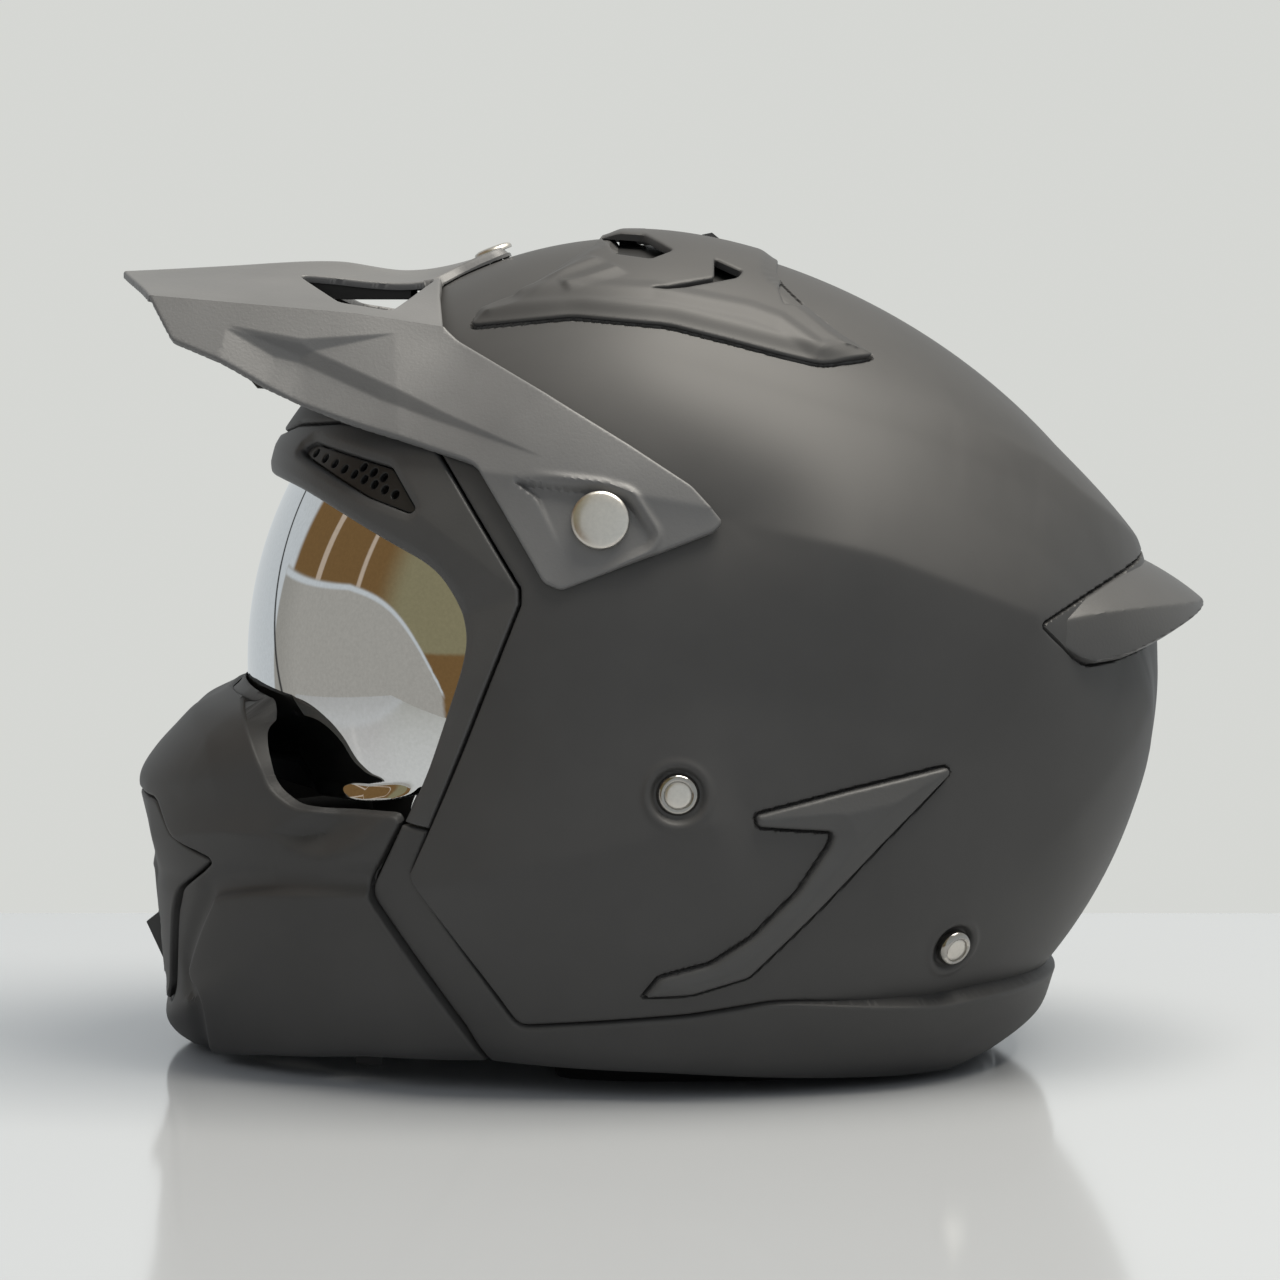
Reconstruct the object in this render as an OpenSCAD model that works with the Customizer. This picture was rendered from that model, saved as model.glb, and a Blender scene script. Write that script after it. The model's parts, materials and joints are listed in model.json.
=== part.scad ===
// Modular motorcycle helmet: an open-face shell with a pull-off chin guard,
// a screwed peak and a mirrored visor that swings up between shell and foam.
// Millimetres. +X is where the rider looks, +Y is the rider's left, +Z is up.
// The origin is on the table, under the middle of the helmet's box.

/* [Shell] */
// Half the width of the shell over the temples
half_width = 124.5; // [121:0.5:128]
// Wall of the moulded shell, frame and trim
shell_wall = 3.5; // [3:0.25:4]
// Gap between neighbouring moulded panels
seam_gap = 0.8; // [0.6:0.1:1]
// Clearance between a piece and the surface it is seated on
seat_gap = 0.3; // [0.2:0.05:0.4]
// How far the crown vent cover stands above the shell
vent_rise = 2.4; // [2:0.2:3]
// Thickness of the arrow mouldings on the sides
side_trim_rise = 1.6; // [1.2:0.2:2.4]
// How far the rear spoiler stands out of the shell at its tip
spoiler_reach = 15.5; // [12:0.5:17]
// Radius of the round holes in the brow grilles
grille_hole_r = 1.5; // [1.2:0.1:1.8]

/* [Peak] */
// Thickness of the peak's moulded panels
peak_wall = 2.4; // [2:0.2:3]
// Half the width of the peak at its front corners
peak_front_half = 66; // [62:1:70]
// How far the peak's wings stand off the shell
peak_stand_off = 5.5; // [5:0.25:6.5]
// Radius of the side screws' heads
peak_screw_r = 8.3; // [7.5:0.1:8.5]
// Radius of the peak screws' shanks
peak_shank_r = 3; // [2.5:0.1:3.2]

/* [Visor] */
// Wall of the visor lens
lens_wall = 2; // [1.8:0.1:2.4]
// Depth of the visor's outer face below the shell's outer face
lens_depth = 9.5; // [9:0.25:10]
// Radius of the pins that the visor turns on
pivot_pin_r = 4; // [3:0.1:4.5]
// Radial running clearance of the hubs on their pins
pivot_play = 0.05; // [0.03:0.01:0.09]
// Radius of the hubs that fit in the lens
hub_r = 11; // [9.5:0.1:11.5]
// Angle by which the visor swings up
visor_travel = 58; // [40:1:60]

/* [Chin guard] */
// Width of the two slots beside the chin vent slider
chin_slot_w = 13; // [10:0.5:14]
// Radius of the holes in the chin grille
chin_hole_r = 1.6; // [1.2:0.1:1.8]
// Thickness of the chin guard's foam pad
chin_pad_wall = 12; // [8:1:14]
// Thickness of the latch tongues
latch_wall = 3; // [2:0.25:3.5]
// Clearance round a tongue in its socket
latch_play = 0.5; // [0.4:0.1:0.8]

/* [Inside] */
// Depth of the foam's face in the visor pocket, below the shell's outer face
pocket_depth = 13.5; // [13:0.25:14.5]
// Half the length of the head cavity in the foam
cavity_x = 104; // [100:1:107]
// Half the width of the head cavity in the foam
cavity_y = 88; // [84:1:90]
// Half the height of the head cavity's dome
cavity_z = 102; // [98:1:104]
// Thickness of the crown pad
crown_pad_wall = 7; // [5:0.5:9]
// Thickness of the cheek pads
cheek_wall = 26; // [20:1:30]
// Height of the neck roll
roll_h = 16; // [13:0.5:16]
// Width of the neck roll
roll_w = 22; // [18:1:24]

/* [Strap and buckle] */
// Width of the chin strap webbing
strap_w = 22; // [20:1:24]
// Thickness of the chin strap webbing
strap_wall = 1.8; // [1.4:0.1:2]
// Radius of the strap rivets' heads
rivet_r = 6; // [5:0.25:6.5]
// Radius of the strap rivets' shanks
rivet_shank_r = 2.4; // [2:0.1:2.6]
// Length of the buckle's housing
buckle_len = 34; // [30:1:38]
// Width of the toothed tongue
tongue_w = 17; // [14:0.5:18]
// Thickness of the toothed tongue
tongue_wall = 2; // [1.6:0.1:2.2]

/* [Hidden] */

// Colours
shell_grey = [0.19, 0.19, 0.19];
frame_grey = [0.22, 0.22, 0.22];
dark = [0.08, 0.08, 0.08];
satin = [0.78, 0.76, 0.72];

// The skin is drawn in polar form about the visor's pivot axis, seen from the side
pivot_x = 7;
pivot_z = 119.5;
brow_r = 130;
rear_reach = 161;
neck_reach = 150;
crown_power = 1.71;
side_power = 2.2;
neck_power = 2.3;
// Lower than the shell's, so that the spoiler's skin meets it at the spoiler's front tips
spoiler_power = 1.85;
rows = 20;
side_span = 2 * half_width + 80;

// Places beyond the shell, to which the cutters run
far_front = pivot_x + brow_r + 13;
far_chin = far_front + 30;
far_rear = pivot_x - rear_reach - 36;
far_top = pivot_z + brow_r + 20.5;

// What sits on the crown is drawn for a shell whose top is this high, and follows the top
drawn_top = 249.5;
lift = pivot_z + brow_r - drawn_top;
function raised(outline) = [for (p = outline) [p[0], p[1] + lift]];

// Middle outline of the chin guard, outside and inside, and its seam with the trim
chin_profile = [
    [128, 111], [141, 107], [155, 94], [162, 84], [157, 63], [155, 50], [152, 17], [155, 9],
    [147, 0], [130, -22], [98, -48], [54, -62],
];
chin_inner = [
    [120, 106], [137, 102], [150, 91], [156.5, 82], [152, 63], [150, 50], [147, 17], [149, 7],
    [142, -3], [126, -24], [95, -48], [52, -60],
];
chin_seam = [[75.2, 79.4], [83.8, 61], [83, 56.5], [49.3, 9.1]];

function oval_r(c, s, a, b, n) = pow(pow(abs(c) / a, n) + pow(abs(s) / b, n), -1 / n);
function signed_pow(v, e) = sign(v) * pow(abs(v), e);
function polar(p) = [atan2(p[1] - pivot_z, p[0] - pivot_x), norm([p[0] - pivot_x, p[1] - pivot_z])];

// Where a ray from the pivot axis meets an outline, or the radius of its nearer end
function edge_radius(th, a, b) =
    let (pivot = [pivot_x, pivot_z])
    cross(a - pivot, b - pivot) / cross([cos(th), sin(th)], b - a);
function radial(th, outline) =
    let (
        places = [for (p = outline) polar(p)],
        last = len(places) - 1,
        hits = [for (i = [0 : last - 1])
            if ((places[i][0] - th) * (places[i + 1][0] - th) <= 0)
                edge_radius(th, outline[i], outline[i + 1])],
        nearer = abs(places[0][0] - th) < abs(places[last][0] - th) ? places[0] : places[last]
    )
    len(hits) > 0 ? hits[0] : nearer[1];

// Reach of the shell from the pivot axis at an angle, and the power of its cross-section
function shell_r(th) =
    sin(th) >= 0
        ? (cos(th) >= 0 ? brow_r : oval_r(cos(th), sin(th), rear_reach, brow_r, crown_power))
        : oval_r(cos(th), sin(th), cos(th) >= 0 ? brow_r : rear_reach, neck_reach, 2);
function shell_n(th) = side_power + neck_power * pow(min(0, sin(th)), 2);

// The neck flare widens the trim below the shell
flare = [[-152, 0], [-145, 2], [-139, 8], [-130, 11], [-115, 6], [-100, 3], [-60, 0]];
// The chin's cross-section meets the shell's where the two share their seam
function on_chin(th) = th > -77 && th < 0;
function chin_n(th, r) =
    shell_n(th) * ln(radial(th, chin_seam) / shell_r(th)) / ln(radial(th, chin_seam) / r);

chin_angles = [for (i = [len(chin_profile) - 1 : -1 : 0]) polar(chin_profile[i])[0]];
function with_middles(list) =
    concat([for (i = [0 : len(list) - 2]) each [list[i], (list[i] + list[i + 1]) / 2]],
        [list[len(list) - 1]]);
function skin_angles(style) =
    style == "guard" || style == "guard_inside"
        ? concat(with_middles(chin_angles), [for (a = [6 : 18 : 276]) a])
        : [for (a = [-180 : 7.5 : 172.5]) a];
function skin_r(th, style) =
    style == "guard" && on_chin(th) ? radial(th, chin_profile)
    : style == "guard_inside" && on_chin(th) ? radial(th, chin_inner)
    : style == "visor" ? brow_r
    : style == "trim" ? shell_r(th) + lookup(th, flare)
    : style == "spoiler" ? shell_r(th) + spoiler_reach
    : shell_r(th);
function skin_n(th, style) =
    (style == "guard" || style == "guard_inside") && on_chin(th) ? chin_n(th, skin_r(th, style))
    : style == "visor" ? side_power
    : style == "spoiler" ? spoiler_power
    : shell_n(th);
function skin_w(style) = style == "guard_inside" ? half_width - shell_wall : half_width;

// Half width of a skin at a place seen from the side, t below its outer face
function skin_y(x, z, t = 0, style = "shell") =
    let (
        place = polar([x, z]),
        share = place[1] / (skin_r(place[0], style) - t)
    )
    (skin_w(style) - t) * pow(max(0, 1 - pow(share, skin_n(place[0], style))), 1 / side_power);

// Outward direction of the shell's left side at a place seen from the side
function skin_normal(x, z) =
    let (
        step = 1,
        dx = (skin_y(x + step, z) - skin_y(x - step, z)) / (2 * step),
        dz = (skin_y(x, z + step) - skin_y(x, z - step)) / (2 * step)
    )
    [-dx, 1, -dz] / norm([dx, 1, dz]);

// Closed solid under a skin, t below its outer face
module skin(t, style = "shell") {
    angles = skin_angles(style);
    cols = len(angles);
    w = skin_w(style) - t;
    tilts = [for (j = [1 : rows - 1]) -90 + 180 * j / rows];
    points = concat(
        [[pivot_x, -w, pivot_z]],
        [for (b = tilts) for (th = angles)
            let (
                r = (skin_r(th, style) - t) * pow(cos(b), 2 / skin_n(th, style))
            )
            [pivot_x + r * cos(th), w * signed_pow(sin(b), 2 / side_power), pivot_z + r * sin(th)]],
        [[pivot_x, w, pivot_z]]
    );
    last = len(points) - 1;
    top = last - cols;
    faces = concat(
        [for (k = [0 : cols - 1]) [0, 1 + (k + 1) % cols, 1 + k]],
        [for (j = [0 : rows - 3]) for (k = [0 : cols - 1])
            let (a = 1 + j * cols + k, b = 1 + j * cols + (k + 1) % cols)
            each [[a, b, a + cols], [b, b + cols, a + cols]]],
        [for (k = [0 : cols - 1]) [last, top + k, top + (k + 1) % cols]]
    );
    polyhedron(points = points, faces = faces);
}

// Cutter with an outline seen from the side, right through the helmet
module side_cut(outline)
    rotate([90, 0, 0])
        linear_extrude(side_span, center = true)
            polygon(outline);

// Cutter along a closed outline seen from the side, as wide as a seam
module seam_cut(outline)
    rotate([90, 0, 0])
        linear_extrude(side_span, center = true)
            for (i = [0 : len(outline) - 1])
                hull()
                    for (p = [outline[i], outline[(i + 1) % len(outline)]])
                        translate(p)
                            circle(d = seam_gap, $fn = 8);

// A panel is the stretch of a layer inside an outline, drawn in by half a seam
module panel(outline, t_out, t_in, style = "shell", style_in = undef)
    difference() {
        intersection() {
            difference() {
                skin(t_out, style);
                skin(t_in, is_undef(style_in) ? style : style_in);
            }
            side_cut(outline);
        }
        seam_cut(outline);
    }

module half_space(side)
    translate([-2 * brow_r, side > 0 ? 0.01 : -side_span, -brow_r])
        cube([4 * brow_r, side_span, 4 * brow_r]);

// Puts its children on the shell, with +Z along the outward direction
module on_skin(x, z, side = 1) {
    n = skin_normal(x, z);
    mirror([0, side > 0 ? 0 : 1, 0])
        translate([x, skin_y(x, z), z])
            rotate([0, acos(n[2]), atan2(n[1], n[0])])
                children();
}

module both_sides() {
    children();
    mirror([0, 1, 0])
        children();
}

// Outlines of the panels, seen from the side as [x, z]
frame_top = [[far_front, 187], [117, 189.5], [108.5, 193], [94.5, 194.2], [80.5, 193], [66.5, 189.5]];
frame_rear = [[61, 181], [40.5, 148], [40.5, 143.5], [66.5, 78.5]];
face_edge = [
    [75, 80], [69, 93], [63.5, 109], [58.5, 124], [57, 134], [60.5, 144.5], [67, 154],
    [82, 161.5], [97, 169.5], [109, 175.5], [121, 179], [far_front, 180],
];
trim_seam = [
    [71.5, 66], [70.5, 63], [42.5, 22.5], [40, 21], [29, 22], [-8, 25], [-31, 28.5],
    [-39, 28.5], [-68, 26], [-83, 25], [-97, 26], [-145, 27],
];
strip_front = [[49.5, 9], [83.5, 57], [84, 61], [75, 80]];
trim_bottom = [
    [-145, 20], [-122, 17], [-112, 12.5], [-98, 6], [-85, 2], [-70, 2], [-40, 4], [0, 7],
];
guard_rim = [[122, 114], [112, 93], [108, 83], [98, 79.5], [75, 80]];
guard_front = [[49.5, 9], [86, 8.5], [118, 5.5], [147, 0], [160, 3], [far_chin, 20],
    [far_chin, 114]];
insert_outline = [
    [152, 80], [146, 72], [141, 68], [132, 64.5], [137, 60], [144, 54], [146, 46],
    [147, 34], [148, 21], [150, 16], [far_chin, 16], [far_chin, 80],
];
grille_outline = [
    [108, 185], [102, 187.5], [79, 183], [74, 177], [70.5, 170], [73, 169.3], [84, 173], [101, 181],
];
arrow_outline = [
    [-26.2, 84], [-53, 90.5], [-82, 96.5], [-83, 94], [-62, 73.5], [-44, 55], [-25, 36.5],
    [-8.5, 31.5], [6, 30.8], [1, 37], [-14, 41], [-25.5, 48.5], [-38.5, 61.5], [-47.5, 75],
    [-48.5, 78.5], [-27, 80.2],
];
spoiler_outline = [
    [-107, 135], [-120, 141], [-134, 147], [-146, 152], [-158, 145], [-172, 136.5],
    [-168, 134], [-151, 128], [-132.5, 123.5], [-123.5, 123], [-119.5, 125], [-112, 131],
];
vent_outline = raised([
    [56.5, 221.5], [26, 224.4], [-2, 221.8], [-21, 217], [-38, 212.5], [-47, 210.5],
    [-62, 212.4], [-62, 214], [-51.7, 220.6], [-42.4, 228.3], [-34.5, 236.4], [-44, 262],
    [14, 262], [19, 247], [31, 239], [42, 231], [54, 226.5],
]);
vent_slots = [
    [[18, 247.5], [5, 246.5], [-3.3, 242.5], [3, 240], [13.6, 241.5]],
    [[-15.5, 240], [-23.7, 236.2], [-22, 234.4], [-1.5, 230.6], [3, 231], [-15.3, 234.3]],
    [[-35.5, 234.6], [-42.3, 229.2], [-40.6, 226.8], [-35.6, 226.8], [-34.3, 231]],
];
vent_rail = raised([[-39, 230], [4, 230], [4, 262], [-39, 262]]);
rail_half = 9;

// Rivets, screws and the crown slider, as places seen from the side
front_rivet = [-4.6, 89.7];
rear_rivet = [-85, 42];
side_screw = [17.5, 167.7 + lift];
top_screw_x = 51;

// Crown vent slider
slider_outline = raised([[-27, 236], [-5, 236], [-5, 262], [-27, 262]]);
slider_half = rail_half - 0.6;
fin_half = 2.5;
fin_outline = raised([[-9, 247], [-13, 250.4], [-16, 251], [-24, 244.5], [-16, 243]]);

// The frames, trims and the shell

module outer_shell() {
    shell_outline = concat(frame_top, frame_rear, trim_seam,
        [[far_rear, 27], [far_rear, far_top], [far_front, far_top]]);
    color(shell_grey)
        difference() {
            panel(shell_outline, 0, shell_wall);
            rivet_holes();
            peak_holes();
        }
}

module eyeport_frame() {
    frame_outline = concat(frame_top, frame_rear, face_edge);
    color(frame_grey)
        difference() {
            panel(frame_outline, 0, shell_wall);
            side_cut(grille_outline);
        }
}

// How far a point is inside a convex outline that runs anticlockwise
function room(p, outline) =
    min([for (i = [0 : len(outline) - 1])
        let (a = outline[i], b = outline[(i + 1) % len(outline)], d = (b - a) / norm(b - a))
        d[0] * (p[1] - a[1]) - d[1] * (p[0] - a[0])]);

module brow_grille(side) {
    wall = 1.5;
    pitch = 2 * grille_hole_r + 1.6;
    holes = [for (i = [0 : 8]) for (k = [0 : 4])
        [66 + pitch * (i + (k % 2) / 2), 167 + pitch * 0.87 * k]];
    color(dark)
        difference() {
            intersection() {
                panel(grille_outline, 1, 1 + wall);
                half_space(side);
            }
            for (p = holes)
                if (room(p, grille_outline) > grille_hole_r + seam_gap)
                    translate([p[0], 0, p[1]])
                        rotate([90, 0, 0])
                            cylinder(r = grille_hole_r, h = side_span, center = true, $fn = 6);
        }
}

module lower_trim() {
    trim_outline = concat([[66.5, 78.5]], trim_seam, trim_bottom, strip_front);
    color(frame_grey)
        panel(trim_outline, 0, shell_wall, "trim");
}

module side_trim(side)
    color(frame_grey)
        intersection() {
            panel(arrow_outline, -seat_gap - side_trim_rise, -seat_gap);
            half_space(side);
        }

module rear_spoiler()
    color(frame_grey)
        panel(spoiler_outline, 0, -seat_gap, "spoiler", "shell");

module top_vent_cover()
    color(shell_grey)
        difference() {
            panel(vent_outline, -seat_gap - vent_rise, -seat_gap);
            for (slot = vent_slots)
                side_cut(raised(slot));
            intersection() {
                side_cut(vent_rail);
                cube([4 * brow_r, 2 * rail_half, 4 * brow_r], center = true);
            }
        }

module top_vent_slider()
    color(shell_grey) {
        intersection() {
            panel(slider_outline, -seat_gap - 1.6, -seat_gap - 0.4);
            cube([4 * brow_r, 2 * slider_half, 4 * brow_r], center = true);
        }
        difference() {
            rotate([90, 0, 0])
                linear_extrude(2 * fin_half, center = true)
                    polygon(fin_outline);
            skin(-seat_gap - 1);
        }
    }

// The rivets and what they pass through

module rivet(head_r, shank_r, depth) {
    translate([0, 0, seat_gap])
        cylinder(r = head_r, h = 1.2, $fn = 40);
    translate([0, 0, seat_gap + 1.2])
        cylinder(r1 = head_r, r2 = head_r * 0.72, h = 1, $fn = 40);
    translate([0, 0, -depth])
        cylinder(r = shank_r, h = depth + seat_gap + 0.5, $fn = 32);
}

module rivet_holes()
    both_sides() {
        on_skin(front_rivet[0], front_rivet[1])
            cylinder(r = rivet_shank_r + 0.5, h = 3 * shell_wall, center = true, $fn = 24);
        on_skin(rear_rivet[0], rear_rivet[1])
            cylinder(r = rivet_shank_r + 0.5, h = 3 * shell_wall, center = true, $fn = 24);
    }

module strap_rivets_front()
    color(satin)
        both_sides()
            on_skin(front_rivet[0], front_rivet[1])
                rivet(rivet_r, rivet_shank_r, shell_wall + strap_wall + 1.2);

module strap_rivets_rear()
    color(satin)
        both_sides()
            on_skin(rear_rivet[0], rear_rivet[1])
                rivet(rivet_r, rivet_shank_r, shell_wall - 0.3);

// The peak: flat moulded panels between corner points, mirrored to the right

function wing_point(x, z) = [x, skin_y(x, z + lift) + peak_stand_off, z + lift];
function up(p) = [p[0], p[1], p[2] + lift];
peak_tip = up([165.8, 0, 239]);
peak_ridge = up([97, 0, 242]);
peak_valley = up([80, 0, 239.3]);
tongue_end = up([47, 12, 246.8]);
tongue_root = up([68, 17, 237.6]);
front_corner = up([151, peak_front_half, 231.5]);
front_lower = up([143.5, peak_front_half + 9, 218.5]);
crease_mid = up([90, peak_front_half + 8, 226.2]);
crease_rear = up([63.5, peak_front_half + 12, 222.2]);
edge_front = up([125, peak_front_half + 17, 211]);
edge_mid = up([105, peak_front_half + 21, 202]);
edge_rear = up([93, peak_front_half + 23, 197.4]);
deck_rear = up([66, 46, 231.5]);
hole_points = [[110, 20], [68.5, 24], [80, 63], [95, 58]];
wing_top = [wing_point(59.3, 218.3), wing_point(34, 204), wing_point(9.6, 189.3)];
wing_tip = [wing_point(-8.5, 177.5), wing_point(-17, 167.7), wing_point(-16, 165.5)];
wing_low = [wing_point(26, 149), wing_point(32, 150), wing_point(53.3, 183)];

// A fan of flat panels from the first corner, built on cubes somewhat under the wall
// because a sloping panel comes out thicker than they are
module plate(corners)
    for (i = [1 : len(corners) - 2])
        hull()
            for (p = [corners[0], corners[i], corners[i + 1]])
                translate(p)
                    cube(peak_wall * 0.8, center = true);

module peak_half() {
    plate([peak_ridge, peak_tip, front_corner, crease_mid, deck_rear, tongue_root, peak_valley]);
    plate([crease_mid, crease_rear, deck_rear]);
    plate([peak_valley, tongue_root, tongue_end, [tongue_end[0], 0, tongue_end[2]]]);
    plate([edge_front, front_lower, front_corner, crease_mid]);
    plate([crease_mid, edge_front, edge_mid, edge_rear, crease_rear]);
    plate([crease_rear, edge_rear, wing_low[2], wing_top[0]]);
    plate([wing_top[0], wing_low[2], wing_top[1]]);
    plate([wing_top[1], wing_low[2], wing_low[1], wing_top[2]]);
    plate([wing_top[2], wing_low[1], wing_low[0], wing_tip[0]]);
    plate([wing_tip[0], wing_low[0], wing_tip[2], wing_tip[1]]);
}

// Dark recess round the side screw
recess_outline = raised([
    [43, 179.5], [16.5, 176.5], [9.6, 174.4], [2.5, 164], [4, 161.3], [25, 152], [27, 155.5],
    [36, 174.3],
]);
recess_depth = 1.2;

module peak_holes() {
    both_sides()
        translate([side_screw[0], skin_y(side_screw[0], side_screw[1]), side_screw[1]])
            rotate([90, 0, 0])
                cylinder(r = peak_shank_r + 0.5, h = 40, center = true, $fn = 24);
    translate([top_screw_x, 0, 230 + lift])
        cylinder(r = peak_shank_r + 0.5, h = 40, $fn = 24);
}

module peak()
    color(frame_grey)
        difference() {
            both_sides()
                peak_half();
            skin(-seat_gap - 0.2);
            both_sides()
                translate([0, 0, 200 + lift])
                    linear_extrude(60)
                        polygon(hole_points);
            difference() {
                side_cut(recess_outline);
                skin(recess_depth - peak_stand_off);
            }
            peak_holes();
        }

module peak_duct() {
    front = [up([128, 0, 222]), up([126, 62, 214]), up([118, 66, 205])];
    rear = [up([103, 0, 203]), up([97, 52, 199]), up([84, 66, 203])];
    wall_top = [up([100, 74, 219]), up([106, 70, 222])];
    color(dark)
        difference() {
            both_sides() {
                plate([front[0], front[1], rear[1], rear[0]]);
                plate([front[1], front[2], rear[2], rear[1]]);
                plate([front[1], front[2], wall_top[0], wall_top[1]]);
                plate([rear[2], front[2], wall_top[0]]);
                plate([front[0], front[1], up([112, 30, 232]), up([112, 0, 237])]);
            }
            skin(-seat_gap);
        }
}

module peak_side_screws()
    color(satin)
        both_sides()
            translate([side_screw[0], 0, side_screw[1]])
                rotate([-90, 0, 0]) {
                    seat = skin_y(side_screw[0], side_screw[1]) + peak_stand_off + peak_wall / 2;
                    translate([0, 0, seat + seat_gap])
                        cylinder(r = peak_screw_r, h = 1.8, $fn = 48);
                    translate([0, 0, seat + seat_gap + 1.8])
                        cylinder(r1 = peak_screw_r, r2 = peak_screw_r - 0.8, h = 0.8, $fn = 48);
                    translate([0, 0, seat - 14])
                        cylinder(r = peak_shank_r, h = 14 + seat_gap + 0.5, $fn = 32);
                }

module peak_top_screw() {
    seat = tongue_end[2] + peak_wall;
    shell_top = pivot_z + sqrt(pow(brow_r - shell_wall, 2) - pow(top_screw_x - pivot_x, 2));
    color(satin)
        translate([top_screw_x, 0, seat - 0.6]) {
            cylinder(r = 6, h = 1.2, $fn = 40);
            translate([0, 0, 1.2])
                cylinder(r1 = 6, r2 = 4.6, h = 0.8, $fn = 40);
            translate([0, 0, shell_top - seat + 0.6])
                cylinder(r = peak_shank_r, h = seat - shell_top, $fn = 32);
        }
}

// The visor and its pivots

lens_outline = [
    [-8, 134], [40, 178], [80, 206], [100, 214], [far_front, 214], [far_front, 96], [128, 89],
    [120, 86], [112, 82.5], [91, 81.5], [74, 84], [52, 92], [22, 103], [-2, 106],
];
lip_outline = [
    [76, 83.8], [91, 81.5], [106, 82.2], [112, 82.6], [112, 84], [106, 84.4], [91, 84], [77, 86],
];
lip_rise = 4;
lens_out_y = half_width - lens_depth;
lens_in_y = lens_out_y - lens_wall;
bracket_r = 13;
bracket_out = half_width - shell_wall - 0.9;
hub_flange_r = 15;
hub_flange = 1.4;
hub_out = lens_out_y + seat_gap + hub_flange;
hub_in = lens_in_y - 1.2;
visor_screw_h = 1.8;

// Round cuts are turned a little, so that their facets don't meet edge on with the skin's
facet_turn = 2;

module ring(r_out, r_in, y_in, y_out)
    translate([pivot_x, y_in, pivot_z])
        rotate([-90, 0, 0])
            difference() {
                cylinder(r = r_out, h = y_out - y_in, $fn = 48);
                translate([0, 0, -1])
                    cylinder(r = r_in, h = y_out - y_in + 2, $fn = 48);
            }

module disc(r, y_in, y_out)
    translate([pivot_x, y_in, pivot_z])
        rotate([-90, facet_turn, 0])
            cylinder(r = r, h = y_out - y_in, $fn = 48);

module visor_lens()
    color([0.72, 0.74, 0.76])
        difference() {
            union() {
                panel(lens_outline, lens_depth, lens_depth + lens_wall, "visor");
                panel(lip_outline, lens_depth - lip_rise, lens_depth + lens_wall, "visor");
            }
            translate([pivot_x, 0, pivot_z])
                rotate([90, facet_turn, 0])
                    cylinder(r = hub_r + seat_gap, h = side_span, center = true, $fn = 40);
        }

module visor_hubs()
    color(dark)
        both_sides() {
            ring(hub_r, pivot_pin_r + pivot_play, hub_in, hub_out - hub_flange);
            ring(hub_flange_r, pivot_pin_r + pivot_play, hub_out - hub_flange, hub_out);
        }

module visor_brackets()
    color(dark)
        both_sides() {
            disc(bracket_r, hub_out + seat_gap, bracket_out);
            disc(pivot_pin_r, hub_in - seat_gap, hub_out + seat_gap + 0.5);
        }

module visor_screws()
    color(satin)
        both_sides()
            disc(7, hub_in - seat_gap - visor_screw_h, hub_in - seat_gap);

// The chin guard and what rides on it

// Guide slot of the chin vent slider: half its width and its two ends in height
slot_half = 3.4;
slot_low = 22;
slot_high = 58;
visor_room = 4.5;

function guard_face(z) = lookup(z, [for (p = chin_profile) [p[1], p[0]]]);

module guard_wall(outline)
    panel(outline, 0, 0, "guard", "guard_inside");

module chin_guard()
    color(shell_grey)
        difference() {
            guard_wall(concat(guard_rim, [strip_front[2], strip_front[1]], guard_front));
            side_cut(insert_outline);
            skin(lens_depth - visor_room, "visor");
        }

module chin_vent_frame()
    color(shell_grey)
        difference() {
            guard_wall(insert_outline);
            translate([130, -slot_half, slot_low])
                cube([60, 2 * slot_half, slot_high - slot_low]);
            both_sides()
                for (z = [24, 42])
                    translate([130, 8, z])
                        cube([60, chin_slot_w, 14]);
        }

module chin_grille() {
    outline = [
        [140, 62], [144, 20], [150, 20], [156, 20], [160, 30], [160, 40], [160, 50], [156, 62],
    ];
    color(dark)
        difference() {
            panel(outline, seat_gap, 1.5 + seat_gap, "guard_inside");
            both_sides()
                for (i = [0 : 2])
                    for (k = [0 : 6])
                        translate([100, 9.5 + 4.4 * (i + (k % 2) / 2), 26 + 4.4 * k])
                            rotate([0, 90, 0])
                                cylinder(r = chin_hole_r, h = 80, $fn = 6);
        }
}

module chin_vent_slider() {
    rise = 1.4;
    low = [guard_face(22) + seat_gap, 22];
    high = [guard_face(41) + seat_gap, 41];
    middle = (low + high) / 2;
    color(shell_grey)
        rotate([90, 0, 0]) {
            linear_extrude(12, center = true)
                polygon([low, low + [rise, 0], high + [rise, 0], high]);
            linear_extrude(4, center = true)
                polygon([low + [0.5, 0], high + [rise + 4.2, -4], high + [0.5, 0]]);
            linear_extrude(2 * (slot_half - 0.6), center = true)
                polygon([middle + [0.5, -4], middle + [0.5, 4], middle + [-4, 4],
                    middle + [-4, -4]]);
        }
}

module chin_pad()
    color(dark)
        panel([[92, 14], [92, 42], [92, 70], [120, 70], [150, 68], [165, 60], [165, 30], [160, 14]],
            2.4, 2.4 + chin_pad_wall, "guard_inside");

// A tongue on each end of the guard slides into a socket behind the strip
tongue_x = [62, 84, 93];
tongue_z = [45, 53];
tongue_inset = 2.3;
tongue_y = skin_y(tongue_x[1], tongue_z[0], 0, "guard_inside") - tongue_inset;
socket_x = [61, 74];
socket_rim = 3;

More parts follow.
